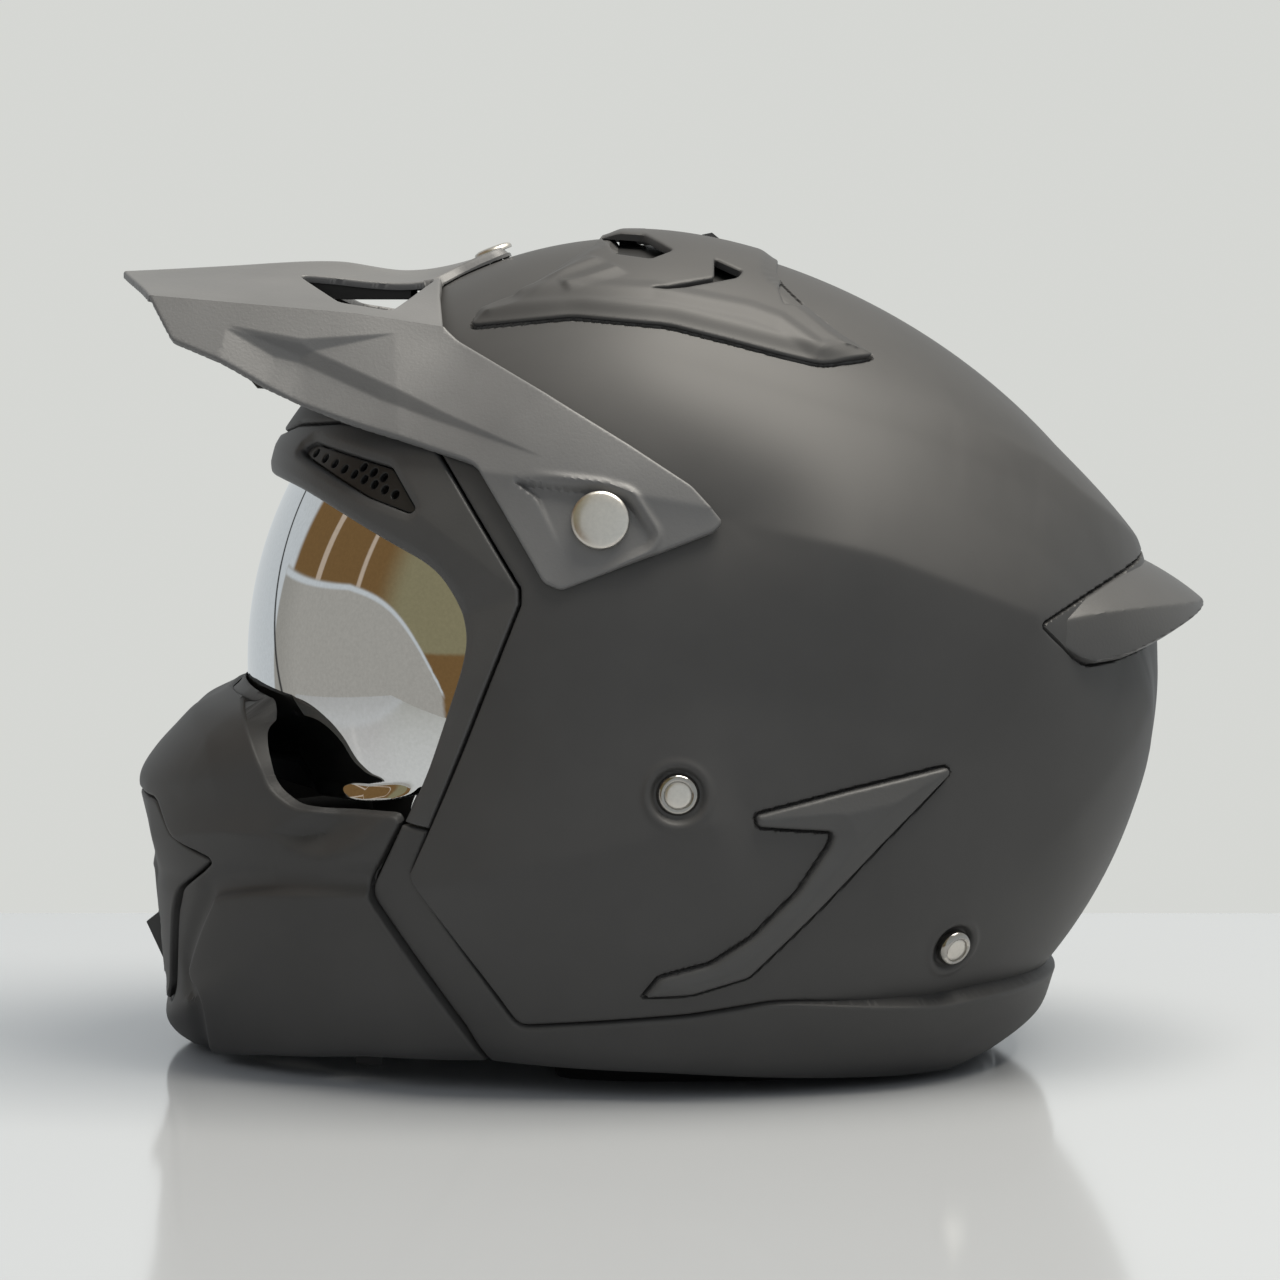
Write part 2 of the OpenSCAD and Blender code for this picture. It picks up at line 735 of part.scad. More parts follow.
module latch_tongues()
    color(dark)
        both_sides() {
            translate([tongue_x[0], tongue_y - latch_wall, tongue_z[0]])
                cube([tongue_x[1] + 1 - tongue_x[0], latch_wall, tongue_z[1] - tongue_z[0]]);
            intersection() {
                skin(seat_gap, "guard_inside");
                translate([tongue_x[1], tongue_y - latch_wall, tongue_z[0]])
                    cube([tongue_x[2] - tongue_x[1], 30, tongue_z[1] - tongue_z[0]]);
            }
        }

module latch_sockets()
    color(dark)
        both_sides()
            intersection() {
                skin(shell_wall + seat_gap, "trim");
                translate([socket_x[0], 0, tongue_z[0] - latch_play - socket_rim])
                    difference() {
                        translate([0, tongue_y - latch_wall - latch_play - socket_rim, 0])
                            cube([socket_x[1] - socket_x[0], 40,
                                tongue_z[1] - tongue_z[0] + 2 * (latch_play + socket_rim)]);
                        translate([-1, tongue_y - latch_wall - latch_play, socket_rim])
                            cube([socket_x[1] - socket_x[0] + 2, latch_wall + 2 * latch_play,
                                tongue_z[1] - tongue_z[0] + 2 * latch_play]);
                    }
            }

module release(side)
    color(dark)
        intersection() {
            difference() {
                skin(seat_gap + 0.2, "guard_inside");
                skin(seat_gap + 3.2, "guard_inside");
            }
            half_space(side);
            translate([82, -side_span / 2, 5.5])
                cube([8, side_span, 16]);
        }

// The foam liner and the pads

eps_floor = roll_h + seat_gap - seam_gap / 2;
eps_outline = [
    [far_front, 186], [112, 184], [100, 176], [84, 168], [64, 159], [54, 148], [50, 134], [51, 122],
    [55, 107], [60, 92], [60, 76], [60, 62], [56, 54], [34, eps_floor], [-100, eps_floor],
    [-112, 24], [-150, 32], [far_rear, 32], [far_rear, far_top], [far_front, far_top],
];
cavity_mid = [-14, 0, 122];

// The pocket clears the lens at every angle of its travel, from under its lower edge to
// the trailing edge swung right up
pocket_reach = 260;
pocket_low = [[14, 98], [52, 88], [91, 77.5], [far_front, 77.5]];
pocket_rear_angle = 66 + visor_travel;
function visor_ray(angle) =
    [pivot_x + pocket_reach * cos(angle), pivot_z + pocket_reach * sin(angle)];
function swung(p) =
    let (place = polar(p), angle = place[0] + visor_travel)
    [pivot_x + place[1] * cos(angle), pivot_z + place[1] * sin(angle)];
pocket_outline = concat(
    [[pivot_x - 4, pivot_z]], pocket_low, [visor_ray(0), visor_ray(60),
    visor_ray(pocket_rear_angle), swung([35, 184]), swung([-13, 139])]
);

cavity_facets = 28;

module ball(x, y, z)
    scale([x, y, z])
        sphere(r = 1, $fn = cavity_facets);

module cavity(inset)
    translate(cavity_mid) {
        ball(cavity_x - inset, cavity_y - inset, cavity_z - inset);
        hull() {
            linear_extrude(1)
                scale([cavity_x - inset, cavity_y - inset])
                    circle(r = 1, $fn = cavity_facets);
            translate([6, 0, -cavity_mid[2]])
                linear_extrude(1)
                    scale([cavity_x - 12 - inset, cavity_y - 4 - inset])
                        circle(r = 1, $fn = cavity_facets);
        }
    }

module eps_liner()
    color([0.12, 0.12, 0.12])
        difference() {
            panel(eps_outline, shell_wall + seat_gap, 60);
            cavity(0);
            difference() {
                side_cut(pocket_outline);
                skin(pocket_depth, "visor");
            }
            both_sides() {
                disc(22, hub_in - 4, half_width);
                translate([-1, 0, 0])
                    strap_shape(shift(strap_path, -9), strap_wall + 14, strap_w + 2);
            }
        }

module crown_pad()
    color(dark)
        difference() {
            intersection() {
                difference() {
                    cavity(seat_gap);
                    cavity(seat_gap + crown_pad_wall);
                }
                translate([-95, -70, 165])
                    cube([150, 140, 90]);
            }
            intersection() {
                seam_cut([[-60, 150], [-50, far_top], [-40, 150], [-14, 150], [-14, far_top],
                    [12, 150], [22, far_top], [32, 150]]);
                cavity(seat_gap + crown_pad_wall - 2);
            }
        }

cheek_corners = [
    [50, 96], [50, 60], [30, 34], [-30, 34], [-36, 80], [-22, 102], [20, 104],
];
cheek_round = 8;

module cheek_pad(side)
    color(dark)
        intersection() {
            cavity(seat_gap);
            hull()
                for (p = cheek_corners)
                    translate([p[0], side * (cavity_y - cheek_wall + cheek_round), p[1]])
                        hull() {
                            sphere(r = cheek_round, $fn = 14);
                            translate([0, side * (cheek_wall - 8), 0])
                                sphere(r = cheek_round - 2, $fn = 14);
                        }
        }

roll_mid = [-8, 0, 0];
roll_x = rear_reach - 73;
roll_y = half_width - 44.5;

module neck_roll() {
    stations = [for (a = [64 : 8 : 296]) a];
    section = [
        [-0.32, 0], [0.32, 0], [0.5, 0.2], [0.5, 0.75], [0.28, 1], [-0.28, 1], [-0.5, 0.75],
        [-0.5, 0.2],
    ];
    m = len(section);
    last = len(stations) - 1;
    points = [for (a = stations) for (s = section)
        [roll_mid[0] + (roll_x + s[0] * roll_w) * cos(a), (roll_y + s[0] * roll_w) * sin(a),
            s[1] * roll_h]];
    faces = concat(
        [[for (j = [m - 1 : -1 : 0]) j]],
        [for (k = [0 : last - 1]) for (j = [0 : m - 1])
            let (a = k * m + j, b = k * m + (j + 1) % m)
            each [[a, b, a + m], [b, b + m, a + m]]],
        [[for (j = [0 : m - 1]) last * m + j]]
    );
    color(dark)
        polyhedron(points = points, faces = faces);
}

// Straps run down inside the shell's wall, in over the roll and down to the buckle
strap_x = -16;
roll_over = roll_h + 2.6;
buckle_z = 9;
function strap_wall_y(z) =
    min(skin_y(strap_x, z, shell_wall + 0.6), skin_y(strap_x + strap_w, z, shell_wall + 0.6));
strap_path = concat(
    [for (z = [98, 82, 66, 50, 38, 28]) [strap_wall_y(z), z]],
    [[strap_wall_y(22) - 4, 21], [half_width - 26, roll_over], [60, roll_over]]
);
left_run = [[52, 17], [45, 11], [38, buckle_z - 0.2], [22, buckle_z - 0.2]];
right_run = [[72, roll_over]];
end_run = [[38.6, 6], [38.6, 13], [46, 19.4], [52, roll_over + 2.4], [82, roll_over + 2.4]];

function along(path, i) =
    let (a = path[max(0, i - 1)], b = path[min(len(path) - 1, i + 1)])
    (b - a) / norm(b - a);
function shift(path, d) =
    [for (i = [0 : len(path) - 1]) path[i] + d * [along(path, i)[1], -along(path, i)[0]]];
function backwards(path) = [for (i = [len(path) - 1 : -1 : 0]) path[i]];
function all_but_last(path) = [for (i = [0 : len(path) - 2]) path[i]];

// Webbing with its outer face along a path of [y, z], thick towards the head
module strap_shape(path, thick, wide)
    translate([strap_x, 0, 0])
        rotate([90, 0, 90])
            linear_extrude(wide)
                polygon(concat(path, backwards(shift(path, thick))));

module strap_with_hole(path)
    difference() {
        strap_shape(path, strap_wall, strap_w);
        on_skin(front_rivet[0], front_rivet[1])
            cylinder(r = rivet_shank_r + 0.4, h = 30, center = true, $fn = 32);
    }

module chin_strap_left()
    color(dark)
        strap_with_hole(concat(strap_path, left_run));

module chin_strap_right()
    color(dark)
        mirror([0, 1, 0])
            strap_with_hole(concat(all_but_last(strap_path), right_run));

module strap_end_right()
    color(dark)
        mirror([0, 1, 0])
            strap_shape(backwards(end_run), strap_wall, strap_w);

buckle_mid = strap_x + strap_w / 2;
buckle_left = 26;
buckle_w = strap_w + 4;
buckle_low = 5.5;
buckle_top = 13.5;
lever_pivot = [19, 16.8];
lever_pin_r = 1.5;
lever_barrel_r = 2.8;
ear_w = 2.4;

module buckle_block(w, y_low, y_high, z_low, z_high)
    translate([buckle_mid - w / 2, y_low, z_low])
        cube([w, y_high - y_low, z_high - z_low]);

module cross_pin(r, w)
    translate([buckle_mid - w / 2, lever_pivot[0], lever_pivot[1]])
        rotate([0, 90, 0])
            cylinder(r = r, h = w, $fn = 32);

module buckle_receiver()
    color(satin) {
        difference() {
            buckle_block(buckle_w, buckle_left - buckle_len, buckle_left, buckle_low, buckle_top);
            buckle_block(tongue_w + 0.8, buckle_left - buckle_len - 1, 16, buckle_z - 0.3,
                buckle_z + tongue_wall + 0.3);
            buckle_block(strap_w + 0.8, 20, buckle_left + 1, buckle_z - 0.6,
                buckle_z + strap_wall + 0.2);
        }
        for (side = [-1, 1])
            translate([side * (buckle_w - ear_w) / 2, 0, 0])
                buckle_block(ear_w, lever_pivot[0] - 3, lever_pivot[0] + 3, buckle_top - 0.1,
                    lever_pivot[1] + 3);
        cross_pin(lever_pin_r, buckle_w - 0.2);
    }

module buckle_lever()
    color(satin)
        difference() {
            union() {
                cross_pin(lever_barrel_r, buckle_w - 2 * ear_w - 0.8);
                buckle_block(buckle_w - 2 * ear_w - 0.8, buckle_left - buckle_len + 2,
                    lever_pivot[0], lever_pivot[1] - 1.4, lever_pivot[1] + 0.6);
            }
            cross_pin(lever_pin_r + 0.05, buckle_w);
        }

module buckle_tongue()
    color(satin)
        difference() {
            union() {
                buckle_block(tongue_w, -34, 14, buckle_z, buckle_z + tongue_wall);
                buckle_block(buckle_w, -45, -34, buckle_z, buckle_z + tongue_wall);
            }
            buckle_block(strap_w + 0.8, -42, -36.4, buckle_low, buckle_top);
            for (i = [0 : 6])
                buckle_block(tongue_w - 6, 2 * i - 3, 2 * i - 2, buckle_z + tongue_wall - 0.6,
                    buckle_top);
        }

outer_shell();
eyeport_frame();
brow_grille(1);  // brow_grille_left
brow_grille(-1);  // brow_grille_right
lower_trim();
side_trim(1);  // side_trim_left
side_trim(-1);  // side_trim_right
rear_spoiler();
top_vent_cover();
top_vent_slider();
peak();
peak_duct();
peak_side_screws();
peak_top_screw();
strap_rivets_front();
strap_rivets_rear();
visor_lens();
visor_hubs();
visor_brackets();
visor_screws();
chin_guard();
chin_vent_frame();
chin_grille();
chin_vent_slider();
chin_pad();
latch_tongues();
latch_sockets();
release(1);  // release_left
release(-1);  // release_right
eps_liner();
crown_pad();
cheek_pad(1);  // cheek_pad_left
cheek_pad(-1);  // cheek_pad_right
neck_roll();
chin_strap_left();
chin_strap_right();
strap_end_right();
buckle_receiver();
buckle_lever();
buckle_tongue();
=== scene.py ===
import json
import math

import bpy
import mathutils
import numpy as np
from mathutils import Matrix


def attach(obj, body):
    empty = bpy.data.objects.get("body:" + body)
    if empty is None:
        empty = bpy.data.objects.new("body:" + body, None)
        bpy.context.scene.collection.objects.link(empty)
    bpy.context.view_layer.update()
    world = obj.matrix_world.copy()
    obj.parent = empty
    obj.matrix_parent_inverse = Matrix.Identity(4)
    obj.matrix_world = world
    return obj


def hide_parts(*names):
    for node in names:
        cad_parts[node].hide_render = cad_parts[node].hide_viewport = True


# A modular motorcycle helmet. Moulded panels are cut from a few mathematical skins, which are those
# of the CAD, and get their folds, rims and holes as heights over the skin. Straps, rivets and
# screws are swept, pads are blown up from their CAD solids, and small hidden parts stay CAD.

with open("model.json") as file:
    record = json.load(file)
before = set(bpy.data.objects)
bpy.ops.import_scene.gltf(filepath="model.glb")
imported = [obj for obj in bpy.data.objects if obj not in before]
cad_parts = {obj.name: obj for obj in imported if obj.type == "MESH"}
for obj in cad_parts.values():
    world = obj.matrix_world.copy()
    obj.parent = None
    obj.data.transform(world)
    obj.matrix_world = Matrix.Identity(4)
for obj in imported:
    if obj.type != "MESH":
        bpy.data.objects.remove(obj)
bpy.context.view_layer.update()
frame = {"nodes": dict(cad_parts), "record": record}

# Sizes are in millimetres here, and become metres when a mesh is made
MM = 0.001

# The skin of the helmet in polar form about the visor's pivot axis, as the CAD has it
PIVOT = np.array([7.0, 0.0, 119.5])
HALF_WIDTH = 124.5
BROW_R = 130.0
REAR_REACH = 161.0
NECK_REACH = 150.0
CROWN_POWER = 1.71
SIDE_POWER = 2.2
NECK_POWER = 2.3
SHELL_WALL = 3.5
SEAM = 0.8
SEAT = 0.3
LENS_DEPTH = 9.5
LENS_WALL = 2.0
HUB_HOLE_R = 11.3
SPOILER_REACH = 15.5

# A distance from a piece's edge that is well outside it, and one that is well clear of it
OUTSIDE = -9
FAR = 99.0

SIDES = ((1, "left"), (-1, "right"))

STEP = 0.1
DEGREES = np.arange(-180.0, 180.0, STEP)
ANGLES = np.radians(DEGREES)


def smoothed(table, sigma):
    """A table over all angles, blurred by sigma degrees."""
    reach = int(4 * sigma / STEP)
    kernel = np.exp(-0.5 * (np.arange(-reach, reach + 1) * STEP / sigma) ** 2)
    wrapped = np.concatenate([table[-reach:], table, table[:reach]])
    return np.convolve(wrapped, kernel / kernel.sum(), "valid")


def oval(cosine, sine, a, b, power):
    return ((abs(cosine) / a) ** power + (abs(sine) / b) ** power) ** (-1 / power)


def shell_reach():
    """Reach of the shell at every angle: a round brow, a long crown and back, a shorter neck."""
    c, s = np.cos(ANGLES), np.sin(ANGLES)
    above = np.where(c >= 0, BROW_R, oval(c, s, REAR_REACH, BROW_R, CROWN_POWER))
    below = oval(c, s, np.where(c >= 0, BROW_R, REAR_REACH), NECK_REACH, 2)
    return np.where(s >= 0, above, below)


def polar(outline):
    rel = np.asarray(outline, float) - PIVOT[[0, 2]]
    return np.degrees(np.arctan2(rel[:, 1], rel[:, 0])), np.hypot(rel[:, 0], rel[:, 1])


def outline_reach(outline, spacing=0.2):
    """Reach of an outline at every angle, constant beyond its ends."""
    angle, radius = polar(resampled(outline, spacing))
    order = np.argsort(angle)
    return np.interp(DEGREES, angle[order], radius[order])


def resampled(line, spacing):
    """A line of points with others added between them, no further apart than spacing."""
    line = np.asarray(line, float)
    parts = []
    for a, b in zip(line[:-1], line[1:]):
        n = max(1, int(np.linalg.norm(b - a) / spacing))
        parts.append(a + (b - a) * np.arange(n)[:, None] / n)
    return np.vstack(parts + [line[-1:]])


def rounded(line, radius, closed=False):
    """A line with each corner replaced by an arc-like curve that starts radius before it."""
    line = [np.asarray(p, float) for p in line]
    count = len(line)
    out = [] if closed else [line[0]]
    for i in range(0 if closed else 1, count if closed else count - 1):
        a, p, b = line[i - 1], line[i], line[(i + 1) % count]
        reach_a = min(radius, np.linalg.norm(a - p) * 0.45)
        reach_b = min(radius, np.linalg.norm(b - p) * 0.45)
        start = p + (a - p) / np.linalg.norm(a - p) * reach_a
        end = p + (b - p) / np.linalg.norm(b - p) * reach_b
        for t in np.linspace(0, 1, 6):
            out.append((1 - t) ** 2 * start + 2 * t * (1 - t) * p + t ** 2 * end)
    return out if closed else out + [line[-1]]


class Spots:
    """Places on a surface: points, outward normals, and their place in the surface's terms."""

    def __init__(self, p, n, way):
        self.p, self.n, self.way = p, n, way
        self.x, self.y, self.z = p[:, 0], np.abs(p[:, 1]), p[:, 2]
        self.left = np.stack([self.x, self.y, self.z], 1)


class Skin:
    """A closed surface: at each angle seen from the side it has a reach and a roundness."""

    def __init__(self, reach, power, width=HALF_WIDTH):
        self.reach, self.power, self.width = reach, power, width

    def lookup(self, angle, table):
        return np.interp(angle, ANGLES, table, period=2 * math.pi)

    def level(self, p):
        rel = p - PIVOT
        angle = np.arctan2(rel[:, 2], rel[:, 0])
        share = np.hypot(rel[:, 0], rel[:, 2]) / self.lookup(angle, self.reach)
        across = np.abs(rel[:, 1]) / self.width
        return share ** self.lookup(angle, self.power) + across ** SIDE_POWER - 1

    def slope(self, p):
        step = 0.05
        return np.stack([(self.level(p + step * axis) - self.level(p - step * axis)) / (2 * step)
                         for axis in np.eye(3)], 1)

    def depth(self, p):
        """About how far points lie below the surface."""
        return -self.level(p) / np.linalg.norm(self.slope(p), axis=1)

    def place(self, way):
        """Where the surface is in the given directions from the pivot."""
        size = np.linalg.norm(way, axis=1)[:, None]
        way = way / size
        angle = np.arctan2(way[:, 2], way[:, 0])
        along = np.hypot(way[:, 0], way[:, 2]) / self.lookup(angle, self.reach)
        across = np.abs(way[:, 1]) / self.width
        power = self.lookup(angle, self.power)
        k = 1 / np.maximum(along, across)
        for _ in range(8):
            u, v = (k * along) ** power, (k * across) ** SIDE_POWER
            k -= k * (u + v - 1) / (power * u + SIDE_POWER * v)
        p = PIVOT + way * k[:, None]
        slope = self.slope(p)
        return Spots(p, slope / np.linalg.norm(slope, axis=1)[:, None], way)

    def height(self, x, z, t=0.0):
        """Half width of the surface at a place seen from the side, t below its face."""
        rel = np.array([x - PIVOT[0], z - PIVOT[2]])
        angle = math.atan2(rel[1], rel[0])
        share = np.hypot(*rel) / (self.lookup(angle, self.reach) - t)
        power = self.lookup(angle, self.power)
        return (self.width - t) * max(0.0, 1 - share ** power) ** (1 / SIDE_POWER)

    def line(self, places):
        """Points in space on the left side, from places seen from the side."""
        return [(x, self.height(x, z), z) for x, z in places]


# Outlines, seen from the side as (x, z)
FRAME_TOP = [(150, 187), (117, 189.5), (108.5, 193), (94.5, 194.2), (80.5, 193), (66.5, 189.5)]
FRAME_REAR = [(61, 181), (40.5, 148), (40.5, 143.5), (66.5, 78.5)]
FACE_EDGE = [
    (75, 80), (69, 93), (63.5, 109), (58.5, 124), (57, 134), (60.5, 144.5), (67, 154),
    (82, 161.5), (97, 169.5), (109, 175.5), (121, 179), (150, 180),
]
TRIM_SEAM = [
    (71.5, 66), (70.5, 63), (42.5, 22.5), (40, 21), (29, 22), (-8, 25), (-31, 28.5),
    (-39, 28.5), (-68, 26), (-83, 25), (-97, 26), (-145, 27),
]
STRIP_FRONT = [(49.5, 9), (83.5, 57), (84, 61), (75, 80)]
TRIM_BOTTOM = [
    (-145, 20), (-122, 17), (-112, 12.5), (-98, 6), (-85, 2), (-70, 2), (-40, 4), (0, 7),
]
GUARD_RIM = [
    (124, 111.3), (117.5, 96), (113.5, 87.5), (107, 83), (98, 82.3), (76.3, 82.6), (75, 80),
]
GUARD_FRONT = [(49.5, 9), (86, 8.5), (118, 5.5), (147, 0), (160, 3), (180, 20), (180, 111.3)]
INSERT = [
    (152, 80), (146, 72), (141, 68), (132, 64.5), (137, 60), (144, 54), (146, 46),
    (147, 34), (148, 21), (150, 16), (180, 16), (180, 80),
]
ARROW = [
    (-26.2, 84), (-53, 90.5), (-82, 96.5), (-83, 94), (-62, 73.5), (-44, 55), (-25, 36.5),
    (-8.5, 31.5), (6, 30.8), (1, 37), (-14, 41), (-25.5, 48.5), (-38.5, 61.5), (-47.5, 75),
    (-48.5, 78.5), (-27, 80.2),
]
SPOILER = [
    (-107, 135), (-120, 141), (-134, 147), (-146, 152), (-158, 145), (-172, 136.5),
    (-168, 134), (-151, 128), (-132.5, 123.5), (-123.5, 123), (-119.5, 125), (-112, 131),
]
VENT = [
    (56.5, 221.5), (26, 224.4), (-2, 221.8), (-21, 217), (-38, 212.5), (-47, 210.5),
    (-62, 212.4), (-62, 214), (-51.7, 220.6), (-42.4, 228.3), (-34.5, 236.4), (-44, 262),
    (14, 262), (19, 247), (31, 239), (42, 231), (54, 226.5),
]
LENS = [
    (-8, 134), (40, 178), (80, 206), (100, 214), (150, 214), (150, 85), (128, 84), (112, 82.5),
    (91, 81.5), (74, 84), (52, 92), (22, 103), (-2, 106),
]
CHIN_PROFILE = [
    (128, 111), (141, 107), (155, 94), (162, 84), (157, 63), (155, 50), (152, 17), (155, 9),
    (147, 0), (130, -22), (98, -48), (54, -62),
]
CHIN_INNER = [
    (120, 106), (137, 102), (150, 91), (156.5, 82), (152, 63), (150, 50), (147, 17), (149, 7),
    (142, -3), (126, -24), (95, -48), (52, -60),
]
CHIN_SEAM = [(75.2, 79.4), (83.8, 61), (83, 56.5), (49.3, 9.1)]
FLARE = [(-152, 0), (-145, 2), (-139, 8), (-130, 11), (-115, 6), (-100, 3), (-60, 0)]

# The skins
shell_table = shell_reach()
power_table = SIDE_POWER + NECK_POWER * np.minimum(0, np.sin(ANGLES)) ** 2
soft_table = smoothed(shell_table, 3)
flare_angles, flare_rises = zip(*FLARE)
flare_table = smoothed(np.interp(DEGREES, flare_angles, flare_rises, left=0, right=0), 2)

SHELL = Skin(soft_table, power_table)
TRIM = Skin(soft_table + flare_table, power_table)
VISOR = Skin(np.full(len(ANGLES), BROW_R), np.full(len(ANGLES), SIDE_POWER))


def chin_skin(profile, width, blur):
    """The guard's skin: in front it follows a profile and meets the shell at the seam."""
    chin = (DEGREES > -77) & (DEGREES < 25)
    reach = np.where(chin, outline_reach(profile), shell_table)
    seam = outline_reach(CHIN_SEAM)
    power = power_table.copy()
    power[chin] *= (np.log(seam / shell_table) / np.log(seam / reach))[chin]
    return Skin(smoothed(reach, blur), smoothed(power, blur), width)


CHIN = chin_skin(CHIN_PROFILE, HALF_WIDTH, 0.9)
CHIN_BACK = chin_skin(CHIN_INNER, HALF_WIDTH - SHELL_WALL, 0.9)


# Sheets: triangle meshes whose corners are places in a surface's own terms

def sphere_mesh(n):
    """Directions and triangles over a whole sphere, n cells along each side of a cube."""
    ticks = np.tan(np.linspace(-1, 1, n + 1) * math.pi / 4)
    u, v = np.meshgrid(ticks, ticks, indexing="ij")
    u, v, one = u.ravel(), v.ravel(), np.ones(u.size)
    cells = grid_triangles(n, n)
    points, triangles = [], []
    for axes in ((0, 1, 2), (1, 2, 0), (2, 0, 1)):
        for side in (1, -1):
            p = np.empty((u.size, 3))
            p[:, axes[0]], p[:, axes[1]], p[:, axes[2]] = side * one, u, v
            triangles.append((cells if side > 0 else cells[:, ::-1]) + len(points) * u.size)
            points.append(p)
    points = np.vstack(points)
    points /= np.linalg.norm(points, axis=1)[:, None]
    unique, shade_back = np.unique(points.round(9), axis=0, return_inverse=True)
    return unique, shade_back.ravel()[np.vstack(triangles)]


def grid_triangles(rows, columns):
    """Two triangles for each cell of a grid of (rows + 1) by (columns + 1) corners."""
    index = np.arange((rows + 1) * (columns + 1)).reshape(rows + 1, columns + 1)
    a, b, c, d = index[:-1, :-1], index[1:, :-1], index[1:, 1:], index[:-1, 1:]
    return np.stack([np.stack([a, b, c], -1), np.stack([a, c, d], -1)]).reshape(-1, 3)


def edges_of(triangles, count):
    """One list of all edges, and each triangle's three rows in it."""
    pairs = np.sort(triangles[:, [0, 1, 1, 2, 2, 0]].reshape(-1, 2), axis=1)
    unique, shade_back = np.unique(pairs[:, 0] * count + pairs[:, 1], return_inverse=True)
    return np.stack([unique // count, unique % count], 1), shade_back.reshape(-1, 3)


def used_only(rows, triangles):
    used, shade_back = np.unique(triangles, return_inverse=True)
    return rows[used], shade_back.reshape(-1, 3)


def divide(rows, triangles, edges, of, chosen, share):
    """Puts a corner on each chosen edge and splits the triangles beside it."""
    i = np.nonzero(chosen)[0]
    a, b = edges[i].T
    middle = np.full(len(edges), -1)
    middle[i] = len(rows) + np.arange(len(i))
    rows = np.vstack([rows, rows[a] + share[i, None] * (rows[b] - rows[a])])
    mids = middle[of]
    count = (mids >= 0).sum(1)
    out = [triangles[count == 0]]
    for turn in range(3):
        t, m = np.roll(triangles, -turn, 1), np.roll(mids, -turn, 1)
        one = (count == 1) & (m[:, 0] >= 0)
        p, q, r = t[one].T
        x = m[one, 0]
        out += [np.stack([p, x, r], 1), np.stack([x, q, r], 1)]
        two = (count == 2) & (m[:, 0] < 0)
        p, q, r = t[two].T
        x, y = m[two, 1], m[two, 2]
        out += [np.stack([r, y, x], 1), np.stack([p, q, x], 1), np.stack([p, x, y], 1)]
    p, q, r = triangles[count == 3].T
    x, y, w = mids[count == 3].T
    out += [np.stack(t, 1) for t in ((p, x, w), (x, q, y), (w, y, r), (x, y, w))]
    return rows, np.vstack(out)


def cut(rows, triangles, level, keep=False):
    """Splits the triangles where the last column is at a level, and can drop what is below."""
    rows = rows.copy()
    s = rows[:, -1] - level
    edges, of = edges_of(triangles, len(rows))
    a, b = edges.T
    crosses = s[a] * s[b] < 0
    share = np.where(crosses, s[a] / np.where(crosses, s[a] - s[b], 1), 0.5)
    for near, corner in ((crosses & (share < 0.15), a), (crosses & (share > 0.85), b)):
        i = np.nonzero(near)[0]
        rows[corner[i]] = rows[a[i]] + share[i, None] * (rows[b[i]] - rows[a[i]])
        rows[corner[i], -1] = level
    s = rows[:, -1] - level
    crosses = s[a] * s[b] < 0
    share = np.where(crosses, s[a] / np.where(crosses, s[a] - s[b], 1), 0.5)
    rows, triangles = divide(rows, triangles, edges, of, crosses, share)
    if keep:
        triangles = triangles[(rows[:, -1] - level)[triangles].sum(1) > 1e-9]
    return used_only(rows, triangles)


def sheet(surface, base, edge, size, levels):
    """Places and triangles of the part of a surface inside its edge, as fine as size asks."""
    ways, triangles = base
    for _ in range(7):
        spots = surface.place(ways)
        f = edge(spots)
        corner = spots.p[triangles]
        longest = np.linalg.norm(corner - np.roll(corner, 1, 1), axis=2).max(1)
        triangles = triangles[f[triangles].max(1) > -2.5 * longest]
        edges, of = edges_of(triangles, len(ways))
        a, b = edges.T
        length = np.linalg.norm(spots.p[a] - spots.p[b], axis=1)
        wanted = size(spots, f)
        chosen = length > 1.4 * np.minimum(wanted[a], wanted[b])
        if not chosen.any():
            break
        ways, triangles = divide(ways, triangles, edges, of, chosen, np.full(len(edges), 0.5))
        ways, triangles = used_only(ways, triangles)
    ways, triangles = used_only(ways, triangles)
    rows = np.column_stack([ways, edge(surface.place(ways))])
    rows, triangles = cut(rows, triangles, 0, keep=True)
    for level in levels:
        rows, triangles = cut(rows, triangles, level)
    return rows[:, :-1], triangles


def closed(outer, triangles, inner):
    """Points and triangles of a sheet with its back and its edges."""
    directed = triangles[:, [0, 1, 1, 2, 2, 0]].reshape(-1, 2)
    codes = directed[:, 0] * len(outer) + directed[:, 1]
    edge = directed[~np.isin(directed[:, 1] * len(outer) + directed[:, 0], codes)]
    a, b, n = edge[:, 0], edge[:, 1], len(outer)
    walls = [np.stack([b, a, a + n], 1), np.stack([b, a + n, b + n], 1)]
    return np.vstack([outer, inner]), np.vstack([triangles, triangles[:, ::-1] + n] + walls)


# Distances in the plane seen from the side, as x and z, and in space

def nearest(axes, line):
    """Distance to a line of points, the share of the way along it, and by axis the offset from
    its nearest place and its direction there."""
    line = np.asarray(line, float)
    count = len(axes[0])
    best, along, done = np.full(count, 1e9), np.zeros(count), 0.0
    off = ahead = [np.zeros(count)] * len(axes)
    for a, b in zip(line[:-1], line[1:]):
        length = np.linalg.norm(b - a)
        e = (b - a) / length
        rel = [axis - start for axis, start in zip(axes, a)]
        t = np.clip(sum(r * c for r, c in zip(rel, e)), 0, length)
        gap = [r - t * c for r, c in zip(rel, e)]
        d = np.sqrt(sum(g * g for g in gap))
        near = d < best
        best, along = np.where(near, d, best), np.where(near, done + t, along)
        off = [np.where(near, new, old) for new, old in zip(gap, off)]
        ahead = [np.where(near, new, old) for new, old in zip(e, ahead)]
        done += length
    return best, along / done, off, ahead


